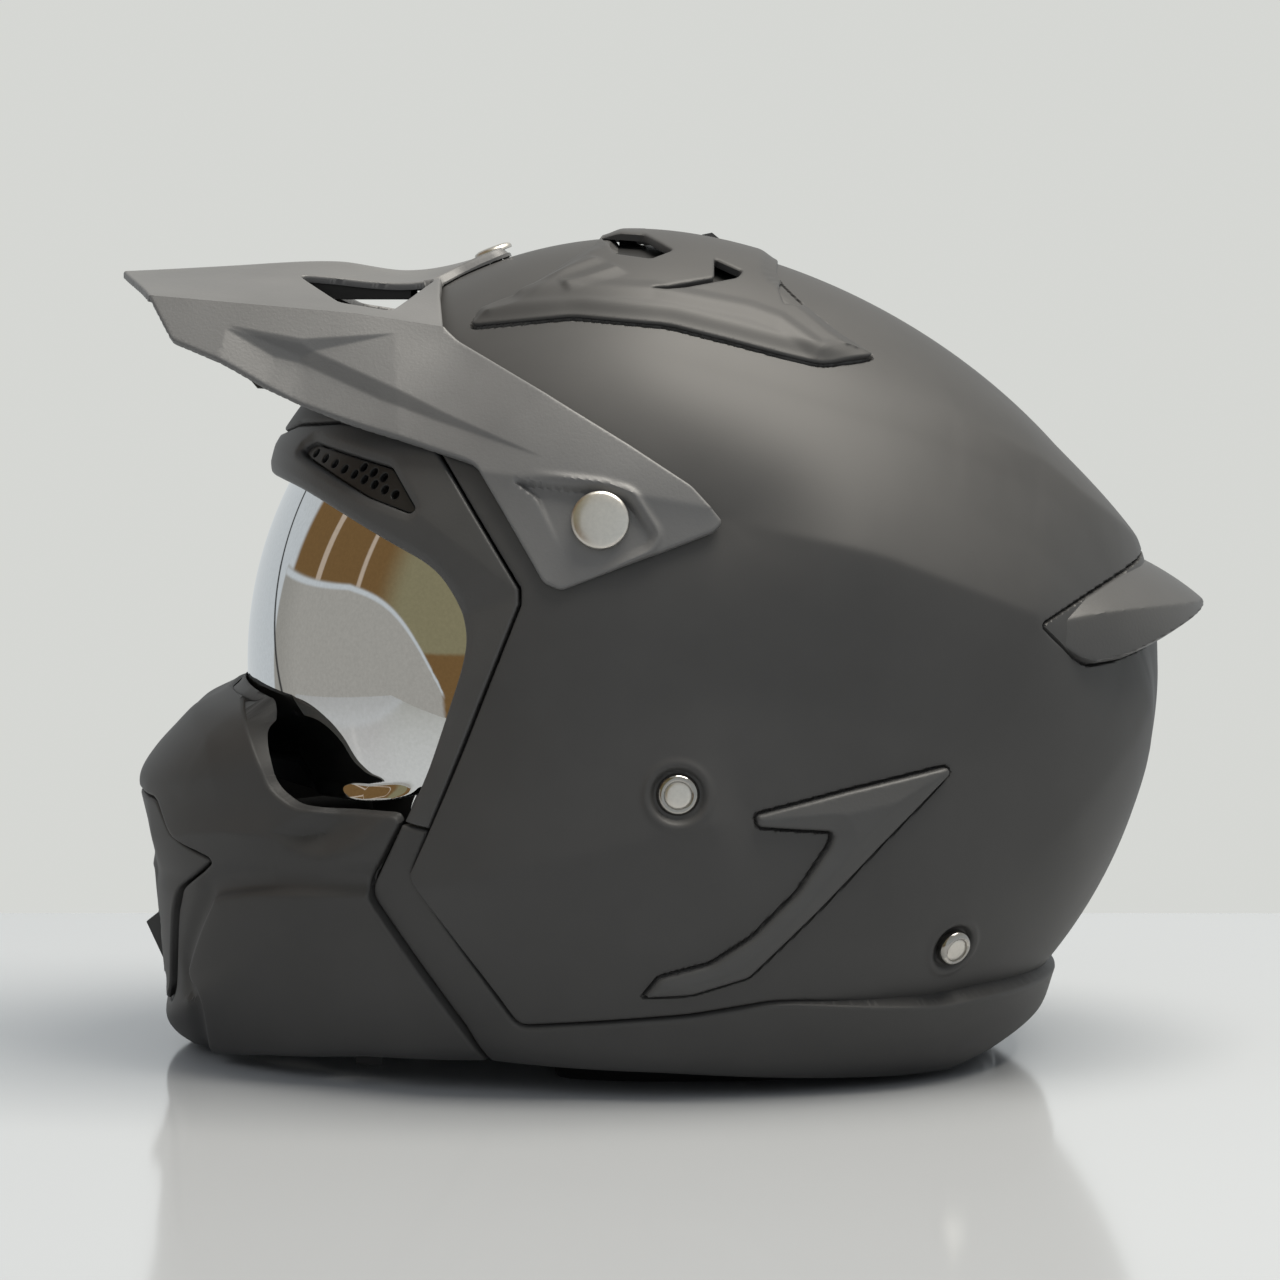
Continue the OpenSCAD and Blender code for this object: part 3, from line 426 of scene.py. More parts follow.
def signed_distance(x, z, outline):
    """Distance to a closed outline, positive inside, and the direction away from it."""
    corners = np.asarray(outline, float)
    best, _, away, _ = nearest((x, z), np.vstack([corners, corners[:1]]))
    inside = np.zeros(len(x), bool)
    for (ax, az), (bx, bz) in zip(corners, np.roll(corners, -1, 0)):
        if az != bz:
            inside ^= ((az > z) != (bz > z)) & (x < ax + (z - az) / (bz - az) * (bx - ax))
    size = np.maximum(best, 1e-9)
    return np.where(inside, best, -best), away[0] / size, away[1] / size


def room(s, outline, gap=SEAM / 2):
    """Distance along the surface from the edge of a piece that an outline bounds."""
    d, gx, gz = signed_distance(s.x, s.z, outline)
    lean = s.n[:, 0] * gx + s.n[:, 2] * gz
    return (d - gap) / np.sqrt(np.maximum(1 - lean ** 2, 0.08))


def beside(x, z, line):
    """Distance to an open line, positive on its left, and the share of the way along it."""
    best, along, (dx, dz), (ex, ez) = nearest((x, z), line)
    return np.where(ex * dz - ez * dx >= 0, best, -best), along


def line_distance(p, line):
    """Distance in space to a line of points, and the share of the way along it."""
    return nearest(p.T, line)[:2]


def smoothstep(x, low, high):
    t = np.clip((x - low) / (high - low), 0, 1)
    return t * t * (3 - 2 * t)


def soft_ramp(d, soft):
    """Zero below nought and d above it, with a soft turn between."""
    return (d + np.sqrt(d * d + soft * soft)) / 2


def roll(f, radius):
    """Drop of a surface towards a rounded edge, where f is the distance from that edge."""
    d = np.clip(f, 0, radius)
    return radius - np.sqrt(np.maximum(radius ** 2 - (radius - d) ** 2, 0))


def ridge(s, line, rise, reach, soft=1.0, start=0.15, end=0.15):
    """A soft crease that stands proud along a line and fades out towards its ends."""
    d, along = line_distance(s.left, line)
    tent = np.clip(1 - (np.sqrt(d ** 2 + soft ** 2) - soft) / reach, 0, 1)
    ends = 1.0
    if start:
        ends = ends * smoothstep(along, 0, start)
    if end:
        ends = ends * (1 - smoothstep(along, 1 - end, 1))
    return rise * tent ** 1.4 * ends


def groove(s, outline, depth, width):
    """A narrow channel in a surface round a piece that lies on it."""
    d = -room(s, outline, 0)
    return -depth * smoothstep(d, -width, -width + 0.5) * (1 - smoothstep(d, 0.1, 0.6))


# Meshes and pieces

def linked(name, data):
    obj = bpy.data.objects.new(name, data)
    bpy.context.scene.collection.objects.link(obj)
    return obj


def mesh_object(name, points, triangles, material, crease=38.0):
    """A Blender object from points in millimetres, smooth but for edges sharper than crease."""
    mesh = bpy.data.meshes.new(name)
    mesh.vertices.add(len(points))
    mesh.vertices.foreach_set("co", (points * MM).astype(np.float32).ravel())
    mesh.loops.add(3 * len(triangles))
    mesh.loops.foreach_set("vertex_index", triangles.astype(np.int32).ravel())
    mesh.polygons.add(len(triangles))
    mesh.polygons.foreach_set("loop_start", np.arange(len(triangles), dtype=np.int32) * 3)
    mesh.update(calc_edges=True)
    mesh.polygons.foreach_set("use_smooth", np.ones(len(triangles), bool))
    mark_creases(mesh, crease)
    mesh.materials.append(material)
    mesh.validate()
    return linked(name, mesh)


def values(rows, name, width, kind=np.float32):
    """An attribute of a mesh's rows, as an array."""
    out = np.empty(len(rows) * width, kind)
    rows.foreach_get(name, out)
    return out.reshape(-1, width)


def mark_creases(mesh, crease):
    """Marks the edges sharp where two triangles meet at more than crease degrees."""
    normals = values(mesh.polygons, "normal", 3)
    edge = values(mesh.loops, "edge_index", 1, np.int32).ravel()
    order = np.argsort(edge, kind="stable")
    sorted_edges, owner = edge[order], order // 3
    pair = np.nonzero(sorted_edges[:-1] == sorted_edges[1:])[0]
    cosine = (normals[owner[pair]] * normals[owner[pair + 1]]).sum(1)
    sharp = np.zeros(len(mesh.edges), bool)
    sharp[sorted_edges[pair]] = cosine < math.cos(math.radians(crease))
    layer = mesh.attributes.new("sharp_edge", "BOOLEAN", "EDGE")
    layer.data.foreach_set("value", sharp)


def signed_volume(points, triangles):
    a, b, c = (points[triangles[:, k]] - points[0] for k in range(3))
    return (np.cross(a, b) * c).sum()


def swept(name, rings, material, crease=38.0):
    """A closed body through rings of points, with a flat end at the first and the last."""
    rings = np.array(rings, float)
    count, around = rings.shape[:2]
    row, column = np.divmod(grid_triangles(count - 1, around), around + 1)
    here = np.arange(around)
    beyond = (here + 1) % around
    first, far = count * around, (count - 1) * around
    ends = [np.stack([np.full(around, first), here, beyond], 1),
            np.stack([np.full(around, first + 1), far + beyond, far + here], 1)]
    points = np.vstack([rings.reshape(-1, 3), rings[0].mean(0), rings[-1].mean(0)])
    triangles = np.vstack([row * around + column % around] + ends)
    if signed_volume(points, triangles) < 0:
        triangles = triangles[:, ::-1]
    return mesh_object(name, points, triangles, material, crease)


def piece(obj, body, nodes):
    """Says on which body an object rides and which nodes it replaces."""
    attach(obj, body)
    if nodes:
        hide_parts(*nodes)


SPHERE = sphere_mesh(36)


def fine_edges(coarse, fine=1.2, reach=3.0):
    """Size of the triangles: coarse inside, fine near the edge of the piece."""
    return lambda s, f: np.where(np.abs(f) < reach, fine, coarse)


def fine_inside(fine, coarse=3.0, reach=4.0):
    """Size of the triangles: fine in the piece and close round it, coarse beyond."""
    return lambda s, f: np.where(f > -reach, fine, coarse)


def panel(name, nodes, slot, surface, edge, rise, body="helmet", material=None, wall=SHELL_WALL,
          inner=None, base=None, size=None, levels=(0.15, 0.45, 0.9), crease=38.0):
    """A moulded panel. Edge gives the distance inside its edge, rise the height of its face over
    the surface, inner its back face, and size how large its triangles are."""
    ways, triangles = sheet(surface, base or SPHERE, edge, size or fine_edges(2.2), levels)
    s = surface.place(ways)
    outer = s.p + s.n * rise(s, edge(s))[:, None]
    inside = inner(s, outer) if inner else s.p - s.n * wall
    a, b, c = outer[triangles].swapaxes(0, 1)
    if (np.cross(b - a, c - a) * s.n[triangles[:, 0]]).sum() < 0:
        triangles = triangles[:, ::-1]
    points, triangles = closed(outer, triangles, inside)
    obj = mesh_object(name, points, triangles, material or LOOKS[slot], crease)
    piece(obj, body, nodes)


# Materials

def new_material(name):
    material = bpy.data.materials.new(name)
    material.use_nodes = True
    return material, material.node_tree, material.node_tree.nodes["Principled BSDF"]


def add(tree, kind, **inputs):
    """A node whose named inputs are set, or linked where the value is a socket."""
    node = tree.nodes.new(kind)
    for name, value in inputs.items():
        slot = node.inputs[name.replace("_", " ")]
        if isinstance(value, bpy.types.NodeSocket):
            tree.links.new(value, slot)
        else:
            slot.default_value = value
    return node


def finish(name, stops, gloss, clouds, grain, depth):
    """A material with colour and gloss that vary by one noise and bump from another. Clouds and
    grain give a noise's scale, detail and roughness."""
    material, tree, shader = new_material(name)
    place = tree.nodes.new("ShaderNodeTexCoord").outputs["Object"]
    mottle, fine = (
        add(tree, "ShaderNodeTexNoise", Vector=place, Scale=scale, Detail=detail,
            Roughness=rough).outputs["Fac"]
        for scale, detail, rough in (clouds, grain))
    tint = add(tree, "ShaderNodeValToRGB", Fac=mottle)
    for element, (at, colour) in zip(tint.color_ramp.elements, stops):
        element.position, element.color = at, (*colour, 1)
    bump = add(tree, "ShaderNodeBump", Strength=1.0, Distance=depth * MM, Height=fine)
    rough = add(tree, "ShaderNodeMapRange", Value=mottle, To_Min=gloss[0], To_Max=gloss[1])
    for slot, value in (("Base Color", tint.outputs["Color"]),
                        ("Normal", bump.outputs["Normal"]),
                        ("Roughness", rough.outputs["Result"])):
        tree.links.new(value, shader.inputs[slot])
    return material, shader


def grey(value, warm=0.0):
    return (value * (1 + warm), value, value * (1 - warm))


MOTTLING = 0.12


def moulded(name, colour, rough, grain=0.3, depth=0.02, specular=0.4):
    """Painted or moulded plastic: faint mottling, fine grain in millimetres, uneven gloss."""
    dark, light = (tuple(c * (1 + share) for c in colour) for share in (-MOTTLING, MOTTLING))
    material, shader = finish(name, [(0.35, dark), (0.68, light)], (rough - 0.05, rough + 0.07),
                              (14.0, 4.0, 0.6), (1000.0 / grain / 2, 2.0, 0.55), depth)
    shader.inputs["Specular IOR Level"].default_value = specular
    return material


def metal(name, colour, rough, brushed=0.0):
    """Metal with fine marks, which are as deep as brushed says, in millimetres."""
    dark = tuple(c * 0.9 for c in colour)
    marks = (900.0, 3.0, 0.6)
    material, shader = finish(name, [(0.3, dark), (0.7, colour)], (rough * 0.8, rough * 1.25),
                              marks, marks, brushed)
    shader.inputs["Metallic"].default_value = 1.0
    return material


# The grained plastic again, made lighter for the peak: painted sheen for the light that the peak
# catches
PEAK_PLASTIC_PAINTED_SHEEN = moulded("peak plastic painted sheen", grey(0.12), 0.46, grain=0.45, depth=0.05, specular=0.5)
LOOKS = {
    "shell_matte": moulded("shell paint", grey(0.042, 0.01), 0.5, grain=0.25, depth=0.012),
    "grained_plastic": moulded("grained plastic", grey(0.05), 0.46, grain=0.45, depth=0.05,
                               specular=0.5),
    "black_plastic": moulded("black plastic", grey(0.012), 0.42, grain=0.5, depth=0.02),
    "mirror_visor": metal("mirror coat", (0.71, 0.73, 0.75), 0.02),
    "polished_steel": metal("polished steel", (0.36, 0.35, 0.33), 0.12, brushed=0.002),
    "satin_steel": metal("satin steel", (0.6, 0.58, 0.54), 0.34, brushed=0.006),
    "foam": moulded("bead foam", grey(0.03), 0.8, grain=2.5, depth=0.12),
    "lining": moulded("lining cloth", grey(0.02), 0.9, grain=0.8, depth=0.15),
    "vinyl": moulded("vinyl", grey(0.01), 0.35, grain=0.9, depth=0.05),
    "webbing": moulded("webbing", grey(0.014), 0.7, grain=0.8, depth=0.12),
}
for part in frame["record"]["subparts"]:
    node = frame["nodes"][part["node"]]
    node.data.materials.clear()
    node.data.materials.append(LOOKS[part["material_slot"]])


# What lies on the skins, as places seen from the side

FRONT_RIVET = (-4.6, 89.7)
REAR_RIVET = (-85, 42)
SIDE_SCREW = (17.5, 167.7)

# Creases of the shell: a line, its rise and reach, how soft it is, and over which shares of its
# length it fades in and out
CREASES = [
    ([(40, 186), (-8, 171), (-18.6, 168), (-33.7, 163.1), (-63.4, 154.5), (-105, 137.9)],
     5.6, 44, 0.9, 0.3, 0),
    ([(-60, 207), (-69.2, 202.5), (-87, 195.6), (-111.5, 181.3), (-123.4, 170.7),
      (-144.9, 153.2)], 4.4, 36, 1.2, 0.75, 0),
    ([(72, 62.3), (60.3, 63.5), (28.9, 71), (4.5, 76.8), (-25.3, 83.6)], 3.4, 36, 1.2, 0, 0.12),
    ([(-150, 118), (-140, 100), (-112, 70), (-104, 62)], 2.6, 40, 2, 0.2, 0.3),
]

SHELL_OUTLINE = (FRAME_TOP + FRAME_REAR + rounded(TRIM_SEAM, 3)
                 + [(-190, 27), (-190, 270), (150, 270)])
ARROW_EDGE = rounded(ARROW, 1.6, closed=True)
SPOILER_EDGE = rounded(SPOILER, 2, closed=True)
VENT_EDGE = rounded(VENT, 3, closed=True)
VENT_SLOTS = [
    [(18, 248.5), (5, 247.5), (-3.3, 242.5), (3, 240), (13.6, 241.5)],
    [(-15.5, 240), (-23.7, 236.2), (-22, 234.4), (-1.5, 230.6), (3, 231), (-15.3, 234.3)],
    [(-35.5, 234.6), (-42.3, 229.2), (-40.6, 226.8), (-35.6, 226.8), (-34.3, 231)],
]
RAIL_X = (-39, 4)
RAIL_HALF = 9
WELL_DEPTH = 2.4


def near_spots(s, spots, reach):
    """Where a surface is within reach of some places on the shell."""
    hit = np.zeros(len(s.x), bool)
    for spot in spots:
        hit |= np.linalg.norm(s.left - SHELL.line([spot])[0], axis=1) < reach
    return hit


def vent_well(s):
    """How far the shell sinks under the openings of the crown vent cover."""
    inside = room(s, VENT_EDGE, 3.5)
    return WELL_DEPTH * smoothstep(inside, 0, 2) * (s.z > 205)


def outer_shell():
    """The shell with its creases, rivet dishes, and grooves round what lies on it."""
    creases = [(SHELL.line(resampled(line, 6)), shape) for line, *shape in CREASES]

    def rise(s, f):
        beyond_wing = -signed_distance(s.x, s.z, SIDE)[0]
        h = ridge(s, creases[0][0], *creases[0][1]) * smoothstep(beyond_wing, -3, 42)
        for line, shape in creases[1:]:
            h += ridge(s, line, *shape)
        for spot, lip in ((FRONT_RIVET, 9.2), (REAR_RIVET, 8.4)):
            r = np.linalg.norm(s.left - SHELL.line([spot])[0], axis=1)
            h += 0.5 * np.exp(-((r - lip) / 1.1) ** 2) - 1.6 * (1 - smoothstep(r, lip - 2.4, lip - 1))
        h += groove(s, ARROW_EDGE, 1.4, 0.5) + groove(s, SPOILER_EDGE, 1.6, 0.5)
        h += groove(s, VENT_EDGE, 1.4, 0.5) * (s.z < 236)
        return h - vent_well(s) - roll(f, 1.1)

    def size(s, f):
        wanted = np.where(np.abs(f) < 3, 1.3, 2.4)
        wanted = np.where(near_spots(s, (FRONT_RIVET, REAR_RIVET), 12), 0.7, wanted)
        for line, _ in creases[:3]:
            wanted = np.where(line_distance(s.left, line)[0] < 5, np.minimum(wanted, 1.2), wanted)
        for outline in (ARROW_EDGE, SPOILER_EDGE, VENT_EDGE):
            rim = np.abs(room(s, outline, 0))
            wanted = np.where(rim < 1.6, np.minimum(wanted, 0.6), wanted)
        return wanted

    panel("outer_shell_panel", ["outer_shell"], "shell_matte", SHELL,
          lambda s: room(s, SHELL_OUTLINE), rise, size=size)


# Crease of the frame: the grained band lies outside it, the smoother slope inside
FRAME_CREASE = [(122, 187.5), (118, 186), (100, 180), (86, 173.5), (71.5, 169.6), (41.1, 147.4),
                (40.7, 143.5), (66.5, 78.5)]
OPENING = rounded(FACE_EDGE, 9)
FRAME_DROP = 4.2


def frame_drop(s):
    """How far the slope between the frame's crease and the opening lies below the shell."""
    d, _ = beside(s.x, s.z, FRAME_CREASE)
    slope = 0.1 + 0.17 * smoothstep(s.z, 112, 146)
    drop = np.minimum(slope * soft_ramp(d, 0.7), FRAME_DROP)
    return drop * smoothstep(s.z, 80, 100)


def eyeport_frame():
    """The grained frame round the face opening, with a pocket round each brow grille."""
    outline = FRAME_TOP + FRAME_REAR + OPENING

    def edge(s):
        return np.minimum(room(s, outline), -room(s, GRILLE_EDGE, -0.2))

    def rise(s, f):
        pocket = -room(s, GRILLE_EDGE, -0.2)
        lip, _ = beside(s.x, s.z, OPENING)
        h = -frame_drop(s) - 0.9 * (1 - smoothstep(pocket, 0, 3))
        h -= 1.0 * (1 - smoothstep(np.abs(lip), 0, 3.5))
        return h - roll(f, 0.9)

    def size(s, f):
        crease = np.abs(beside(s.x, s.z, FRAME_CREASE)[0])
        return np.where((crease < 2) | (np.abs(f) < 2), 0.7, 1.5)

    def inner(s, outer):
        return s.p - s.n * (frame_drop(s) + SHELL_WALL)[:, None]

    panel("eyeport_frame_panel", ["eyeport_frame"], "grained_plastic", SHELL, edge, rise,
          inner=inner, size=size)


GRILLE_EDGE = rounded([(107.3, 186.4), (103.7, 188.6), (79, 182.2), (71.5, 170.3), (73.3, 169.2),
                       (86, 173.5), (107.1, 184.9)], 1.2, closed=True)
GRILLE_ALONG = np.array([-0.916, -0.402])
GRILLE_PITCH = 3.5
GRILLE_ROW = 3.1
GRILLE_HOLE = 1.4
GRILLE_SINK = 2.4
GRILLE_SHADE_SINK = 5.0


def brow_grilles():
    """Sunk plates with staggered rows of round holes, and behind each a black back, which is painted
    shade seen through the holes.
    """
    across = np.array([-GRILLE_ALONG[1], GRILLE_ALONG[0]])
    start = np.array([104.0, 186.0])
    centres = [start + GRILLE_ALONG * GRILLE_PITCH * (i + (k % 2) / 2) + across * GRILLE_ROW * k
               for k in range(-3, 7) for i in range(-2, 13)]
    centres = [c for c in centres
               if signed_distance(c[:1], c[1:], GRILLE_EDGE)[0][0] > GRILLE_HOLE + 0.5]

    def holes(s):
        best = np.full(len(s.x), FAR)
        for x, z in centres:
            r = np.linalg.norm(s.left - SHELL.line([(x, z)])[0], axis=1)
            best = np.minimum(best, r - GRILLE_HOLE)
        return best

    for side, name in SIDES:
        def edge(s):
            body = np.where(side * s.p[:, 1] > 0, room(s, GRILLE_EDGE, 0.1), OUTSIDE)
            return np.where(body > -1, np.minimum(body, holes(s)), body)

        panel(f"brow_grille_{name}_plate", [f"brow_grille_{name}"], "black_plastic", SHELL, edge,
              lambda s, f: -GRILLE_SINK - roll(f, 0.4), wall=4.0, levels=(0.12, 0.4),
              size=fine_inside(0.45, 2.0))

        # Behind the holes, a black sheet: painted shade for the depth behind the grille
        def shade_back_edge(s):
            return np.where(side * s.p[:, 1] > 0, room(s, GRILLE_EDGE, -0.4), OUTSIDE)

        panel(f"brow_grille_{name}_back", [], "black_plastic", SHELL, shade_back_edge,
              lambda s, f: np.full(len(f), -GRILLE_SHADE_SINK), wall=5.8, levels=(),
              size=fine_inside(1.0))


def lower_trim():
    """Front strips and skirt in one, whose back is the shell's own, so that the flare has none
    behind it."""
    outline = [(66.5, 78.5)] + rounded(TRIM_SEAM, 3) + TRIM_BOTTOM + rounded(STRIP_FRONT, 3)
    flange = [(-140, 21), (-112, 14.5), (-85, 6.5), (-40, 8), (0, 11), (52, 14)]

    def rise(s, f):
        d, _ = beside(s.x, s.z, flange)
        return 0.9 * (1 - smoothstep(np.abs(d), 0, 9)) - roll(f, 1.2)

    def inner(s, outer):
        shade_back = SHELL.place(s.way)
        return shade_back.p - shade_back.n * SHELL_WALL

    panel("lower_trim_panel", ["lower_trim"], "shell_matte", TRIM, lambda s: room(s, outline),
          rise, inner=inner)


def side_trims():
    for side, name in SIDES:
        def edge(s):
            return np.where(side * s.p[:, 1] > 0, room(s, ARROW_EDGE), OUTSIDE)

        def rise(s, f):
            return SEAT + 1.4 + 0.3 * np.minimum(f, 6) - roll(f, 1.0)

        panel(f"side_arrow_{name}", [f"side_trim_{name}"], "grained_plastic", SHELL, edge, rise,
              wall=-SEAT, size=fine_inside(0.8), levels=(0.12, 0.4, 0.9))


SPOILER_TOP = [(-95, 130)] + SPOILER[:4] + [(-160, 158)]
SPOILER_BELOW = [(-165, 132)] + SPOILER[7:] + SPOILER[:1]
TOP_SLOPE = 0.85
BELOW_SLOPE = 2.6


def rear_spoiler():
    """A wedge: it rises backwards, and falls to its top line and to its lower edge."""
    def edge(s):
        return np.where(s.x < -90, room(s, SPOILER_EDGE), OUTSIDE)

    def rise(s, f):
        from_top, _ = beside(s.x, s.z, SPOILER_TOP)
        from_below, _ = beside(s.x, s.z, SPOILER_BELOW)
        out = SPOILER_REACH * np.clip((-s.x - 104) / 48, 0, 1) ** 1.5 + 1.0
        out = np.minimum(out, 0.6 + TOP_SLOPE * np.maximum(from_top, 0))
        out = np.minimum(out, 2.4 + BELOW_SLOPE * np.maximum(from_below, 0))
        return 0.4 + out - roll(f, 0.6)

    panel("rear_spoiler_panel", ["rear_spoiler"], "grained_plastic", SHELL, edge, rise,
          wall=-SEAT, crease=24.0, size=fine_inside(0.8), levels=(0.15, 0.4))


def rail_room(s):
    """Distance outside the slider's opening in the crown cover."""
    middle, half = sum(RAIL_X) / 2, (RAIL_X[1] - RAIL_X[0]) / 2
    outside = np.maximum(np.abs(s.x - middle) - half, s.y - RAIL_HALF)
    return np.where(s.z > 215, outside, FAR)


BAND = [(62, 227), (50.4, 226.5), (43.7, 230.6), (29.1, 231.5), (2.1, 230.6), (-24.9, 225.3),
        (-33.9, 222.1), (-45.2, 214), (-62, 212)]


def vent_cover():
    """The crown vent's cover with its slots, and in the middle below it a black sheet on the sunk
    shell, whose black is painted shade in the well.
    """
    slots = [rounded(slot, 0.8, closed=True) for slot in VENT_SLOTS]
    ribs = [SHELL.line(resampled(line, 4)) for line in
            ([(43.7, 230.6), (17.2, 240.1)], [(29.1, 231.5), (11.5, 237.4)])]

    def edge(s):
        inside = room(s, VENT_EDGE)
        for slot in slots:
            inside = np.minimum(inside, -signed_distance(s.x, s.z, slot)[0])
        return np.where(s.z > 200, np.minimum(inside, rail_room(s)), OUTSIDE)

    def rise(s, f):
        d, _ = beside(s.x, s.z, BAND)
        band = room(s, VENT_EDGE)
        h = SEAT + 0.9 + 1.7 * smoothstep(band, 0, 7) + 0.7 * (1 - smoothstep(np.abs(d), 0, 3))
        for rib in ribs:
            h += ridge(s, rib, 0.8, 5, soft=0.5, start=0.1, end=0.1)
        return h - roll(f, 0.7)

    panel("crown_vent_cover", ["top_vent_cover"], "shell_matte", SHELL, edge, rise, wall=-SEAT,
          size=fine_inside(0.9, reach=3.0), levels=(0.12, 0.4))

    def shade_sheet_rise(s, f):
        inwards = np.maximum(s.y - 14, RAIL_X[1] + 5 - s.x)
        return 0.2 - WELL_DEPTH * smoothstep(inwards, 0, 3)

    # A black sheet that lines the sunk shell under the slots: painted shade for the depth of the vent
    panel("crown_vent_shade_sheet", [], "black_plastic", SHELL,
          lambda s: np.where(s.z > 205, room(s, VENT_EDGE, 5.5), OUTSIDE), shade_sheet_rise,
          wall=WELL_DEPTH - 0.1, size=fine_inside(2.0, 2.0), levels=())


# Visor

LENS_EDGE = rounded(LENS, 4, closed=True)
LIP_LINE = [(74, 84), (91, 81.5), (112, 82.5)]
LIP_CURL = 3.0


def visor_lens():
    def edge(s):
        hub = np.hypot(s.x - PIVOT[0], s.z - PIVOT[2]) - HUB_HOLE_R
        return np.minimum(room(s, LENS_EDGE), np.where(s.y > 60, hub, FAR))

    def rise(s, f):
        near, _ = beside(s.x, s.z, LIP_LINE)
        window = smoothstep(s.x, 74, 84) * (1 - smoothstep(s.x, 104, 112))
        curl = LIP_CURL * (1 - smoothstep(np.abs(near), 0.3, 5.5)) * window
        return curl - LENS_DEPTH - roll(f, 0.5)

    def size(s, f):
        low = (s.z < 92) & (s.x > 68)
        return np.where(low, 0.7, np.where(np.abs(f) < 2, 1.2, 2.0))

    def inner(s, outer):
        return outer - s.n * LENS_WALL

    panel("visor_lens_panel", ["visor_lens"], "mirror_visor", VISOR, edge, rise, body="visor",
          inner=inner, size=size, levels=(0.15, 0.4))


# Chin guard

GUARD_EDGE = (rounded(GUARD_RIM, 3)[:-1] + [(75, 80)] + rounded(STRIP_FRONT, 3)[-2::-1]
              + GUARD_FRONT[1:])
INSERT_EDGE = rounded(INSERT, 2, closed=True)
FOLD = [(146, 106.5), (142.3, 105.5), (133.8, 99.5), (130.5, 85.7), (128, 76)]
CHIN_CREASE = [(152, 68), (149.9, 68.4), (137.1, 72.2), (126.8, 73.8), (112.5, 74.1), (104, 73)]
SCOOP = rounded([(114, 74.5), (112.5, 74.1), (108.2, 70.1), (99, 67.9), (90, 71.2), (82.8, 77.1),
                 (78, 83.4), (78, 92), (104, 92), (101, 83.5), (106.6, 79)], 3, closed=True)
SIDE_PANEL = [(131.4, 54), (120.9, 57), (108.3, 58.6), (81.3, 60.1), (60, 60), (30, 0), (60, -20),
              (134, -20), (137.2, 22.6), (139.7, 24.7), (141.1, 28.9), (139.8, 33.9), (136.7, 42.4),
              (132.1, 52.1)]
FLANGE = [(150, 4.5), (146.9, 4.7), (138.1, 5.7), (119.6, 6.9), (87.1, 12), (52.7, 13)]
SCOOP_DEPTH = 4.0
VISOR_ROOM = 4.4
FACE_ROOM_LOW = 4.8
FACE_ROOM_HIGH = 7.8


def guard_form(s):
    """The guard's folds: everything but its rounded edges. Near the visor its face stays
    outside the visor's, by the face room."""
    fold, crease = CHIN.line(resampled(FOLD, 3)), CHIN.line(resampled(CHIN_CREASE, 4))
    h = ridge(s, fold, 1.8, 20, soft=0.8, start=0.35, end=0.3)
    h += ridge(s, crease, 4.0, 18, soft=0.6, start=0, end=0.3)
    scoop = room(s, SCOOP, 0)
    h -= SCOOP_DEPTH * smoothstep(scoop, -1, 9)
    side = room(s, rounded(SIDE_PANEL, 4, closed=True), 0)
    h += 2.2 * smoothstep(side, -1.5, 1.8) - 1.2 * np.exp(-((side + 4) / 4) ** 2)
    low, _ = beside(s.x, s.z, FLANGE)
    h -= np.minimum(0.4 * soft_ramp(low, 0.8), 3)
    face_room = FACE_ROOM_LOW + (FACE_ROOM_HIGH - FACE_ROOM_LOW) * smoothstep(s.z, 88, 98)
    out = VISOR.depth(s.p + s.n * h[:, None]) - face_room
    return h + soft_ramp(out, 6) * smoothstep(s.z, 80, 90)


def guard_inner(s, outer):
    """Back face of the guard, which keeps clear of the visor."""
    shade_back = CHIN_BACK.place(s.way)
    scoop = room(s, SCOOP, 0)
    q = shade_back.p - shade_back.n * (SCOOP_DEPTH * smoothstep(scoop, -1, 12))[:, None]
    push = np.where(s.z > 76, np.maximum(0, VISOR.depth(q) - VISOR_ROOM), 0)
    q = q + shade_back.n * push[:, None]
    thick = ((outer - q) * s.n).sum(1)
    return q - s.n * np.maximum(0, 1.0 - thick)[:, None]


def guard_size(s, f):
    crease = line_distance(s.left, CHIN.line(resampled(CHIN_CREASE, 4)))[0]
    fold = line_distance(s.left, CHIN.line(resampled(FOLD, 3)))[0]
    side = np.abs(room(s, SIDE_PANEL, 0))
    fine = (crease < 3) | (fold < 3) | (side < 3) | (np.abs(f) < 2)
    return np.where(fine, 0.8, 1.7)


def chin_guard():
    def edge(s):
        return np.minimum(room(s, GUARD_EDGE), -room(s, INSERT_EDGE, -SEAM / 2))

    panel("chin_guard_panel", ["chin_guard"], "shell_matte", CHIN, edge,
          lambda s, f: guard_form(s) - roll(f, 1.3), body="chin_bar", inner=guard_inner,
          size=guard_size)


def insert_seam():
    """A thin black strip behind the seam round the insert, which keeps the light out and whose black
    is painted shade in the seam.
    """
    def edge(s):
        return np.where(s.x > 110, 3.5 - np.abs(room(s, INSERT_EDGE, 0)), OUTSIDE)

    def rise(s, f):
        shade_back = guard_inner(s, s.p + s.n * guard_form(s)[:, None])
        return ((shade_back - s.p) * s.n).sum(1) - 0.1

    # Black strip: it blocks the light through the seam, and its black is painted shade
    panel("chin_insert_seam_shade", [], "black_plastic", CHIN, edge, rise, body="chin_bar", levels=(),
          inner=lambda s, outer: outer - s.n * 0.7, size=fine_inside(1.8, 1.8))


INTAKES = [(14.5, 31, 6.5, 7), (14.5, 49, 6.5, 7)]
SLIDER_SLOT = (0, 40, 3.4, 18)


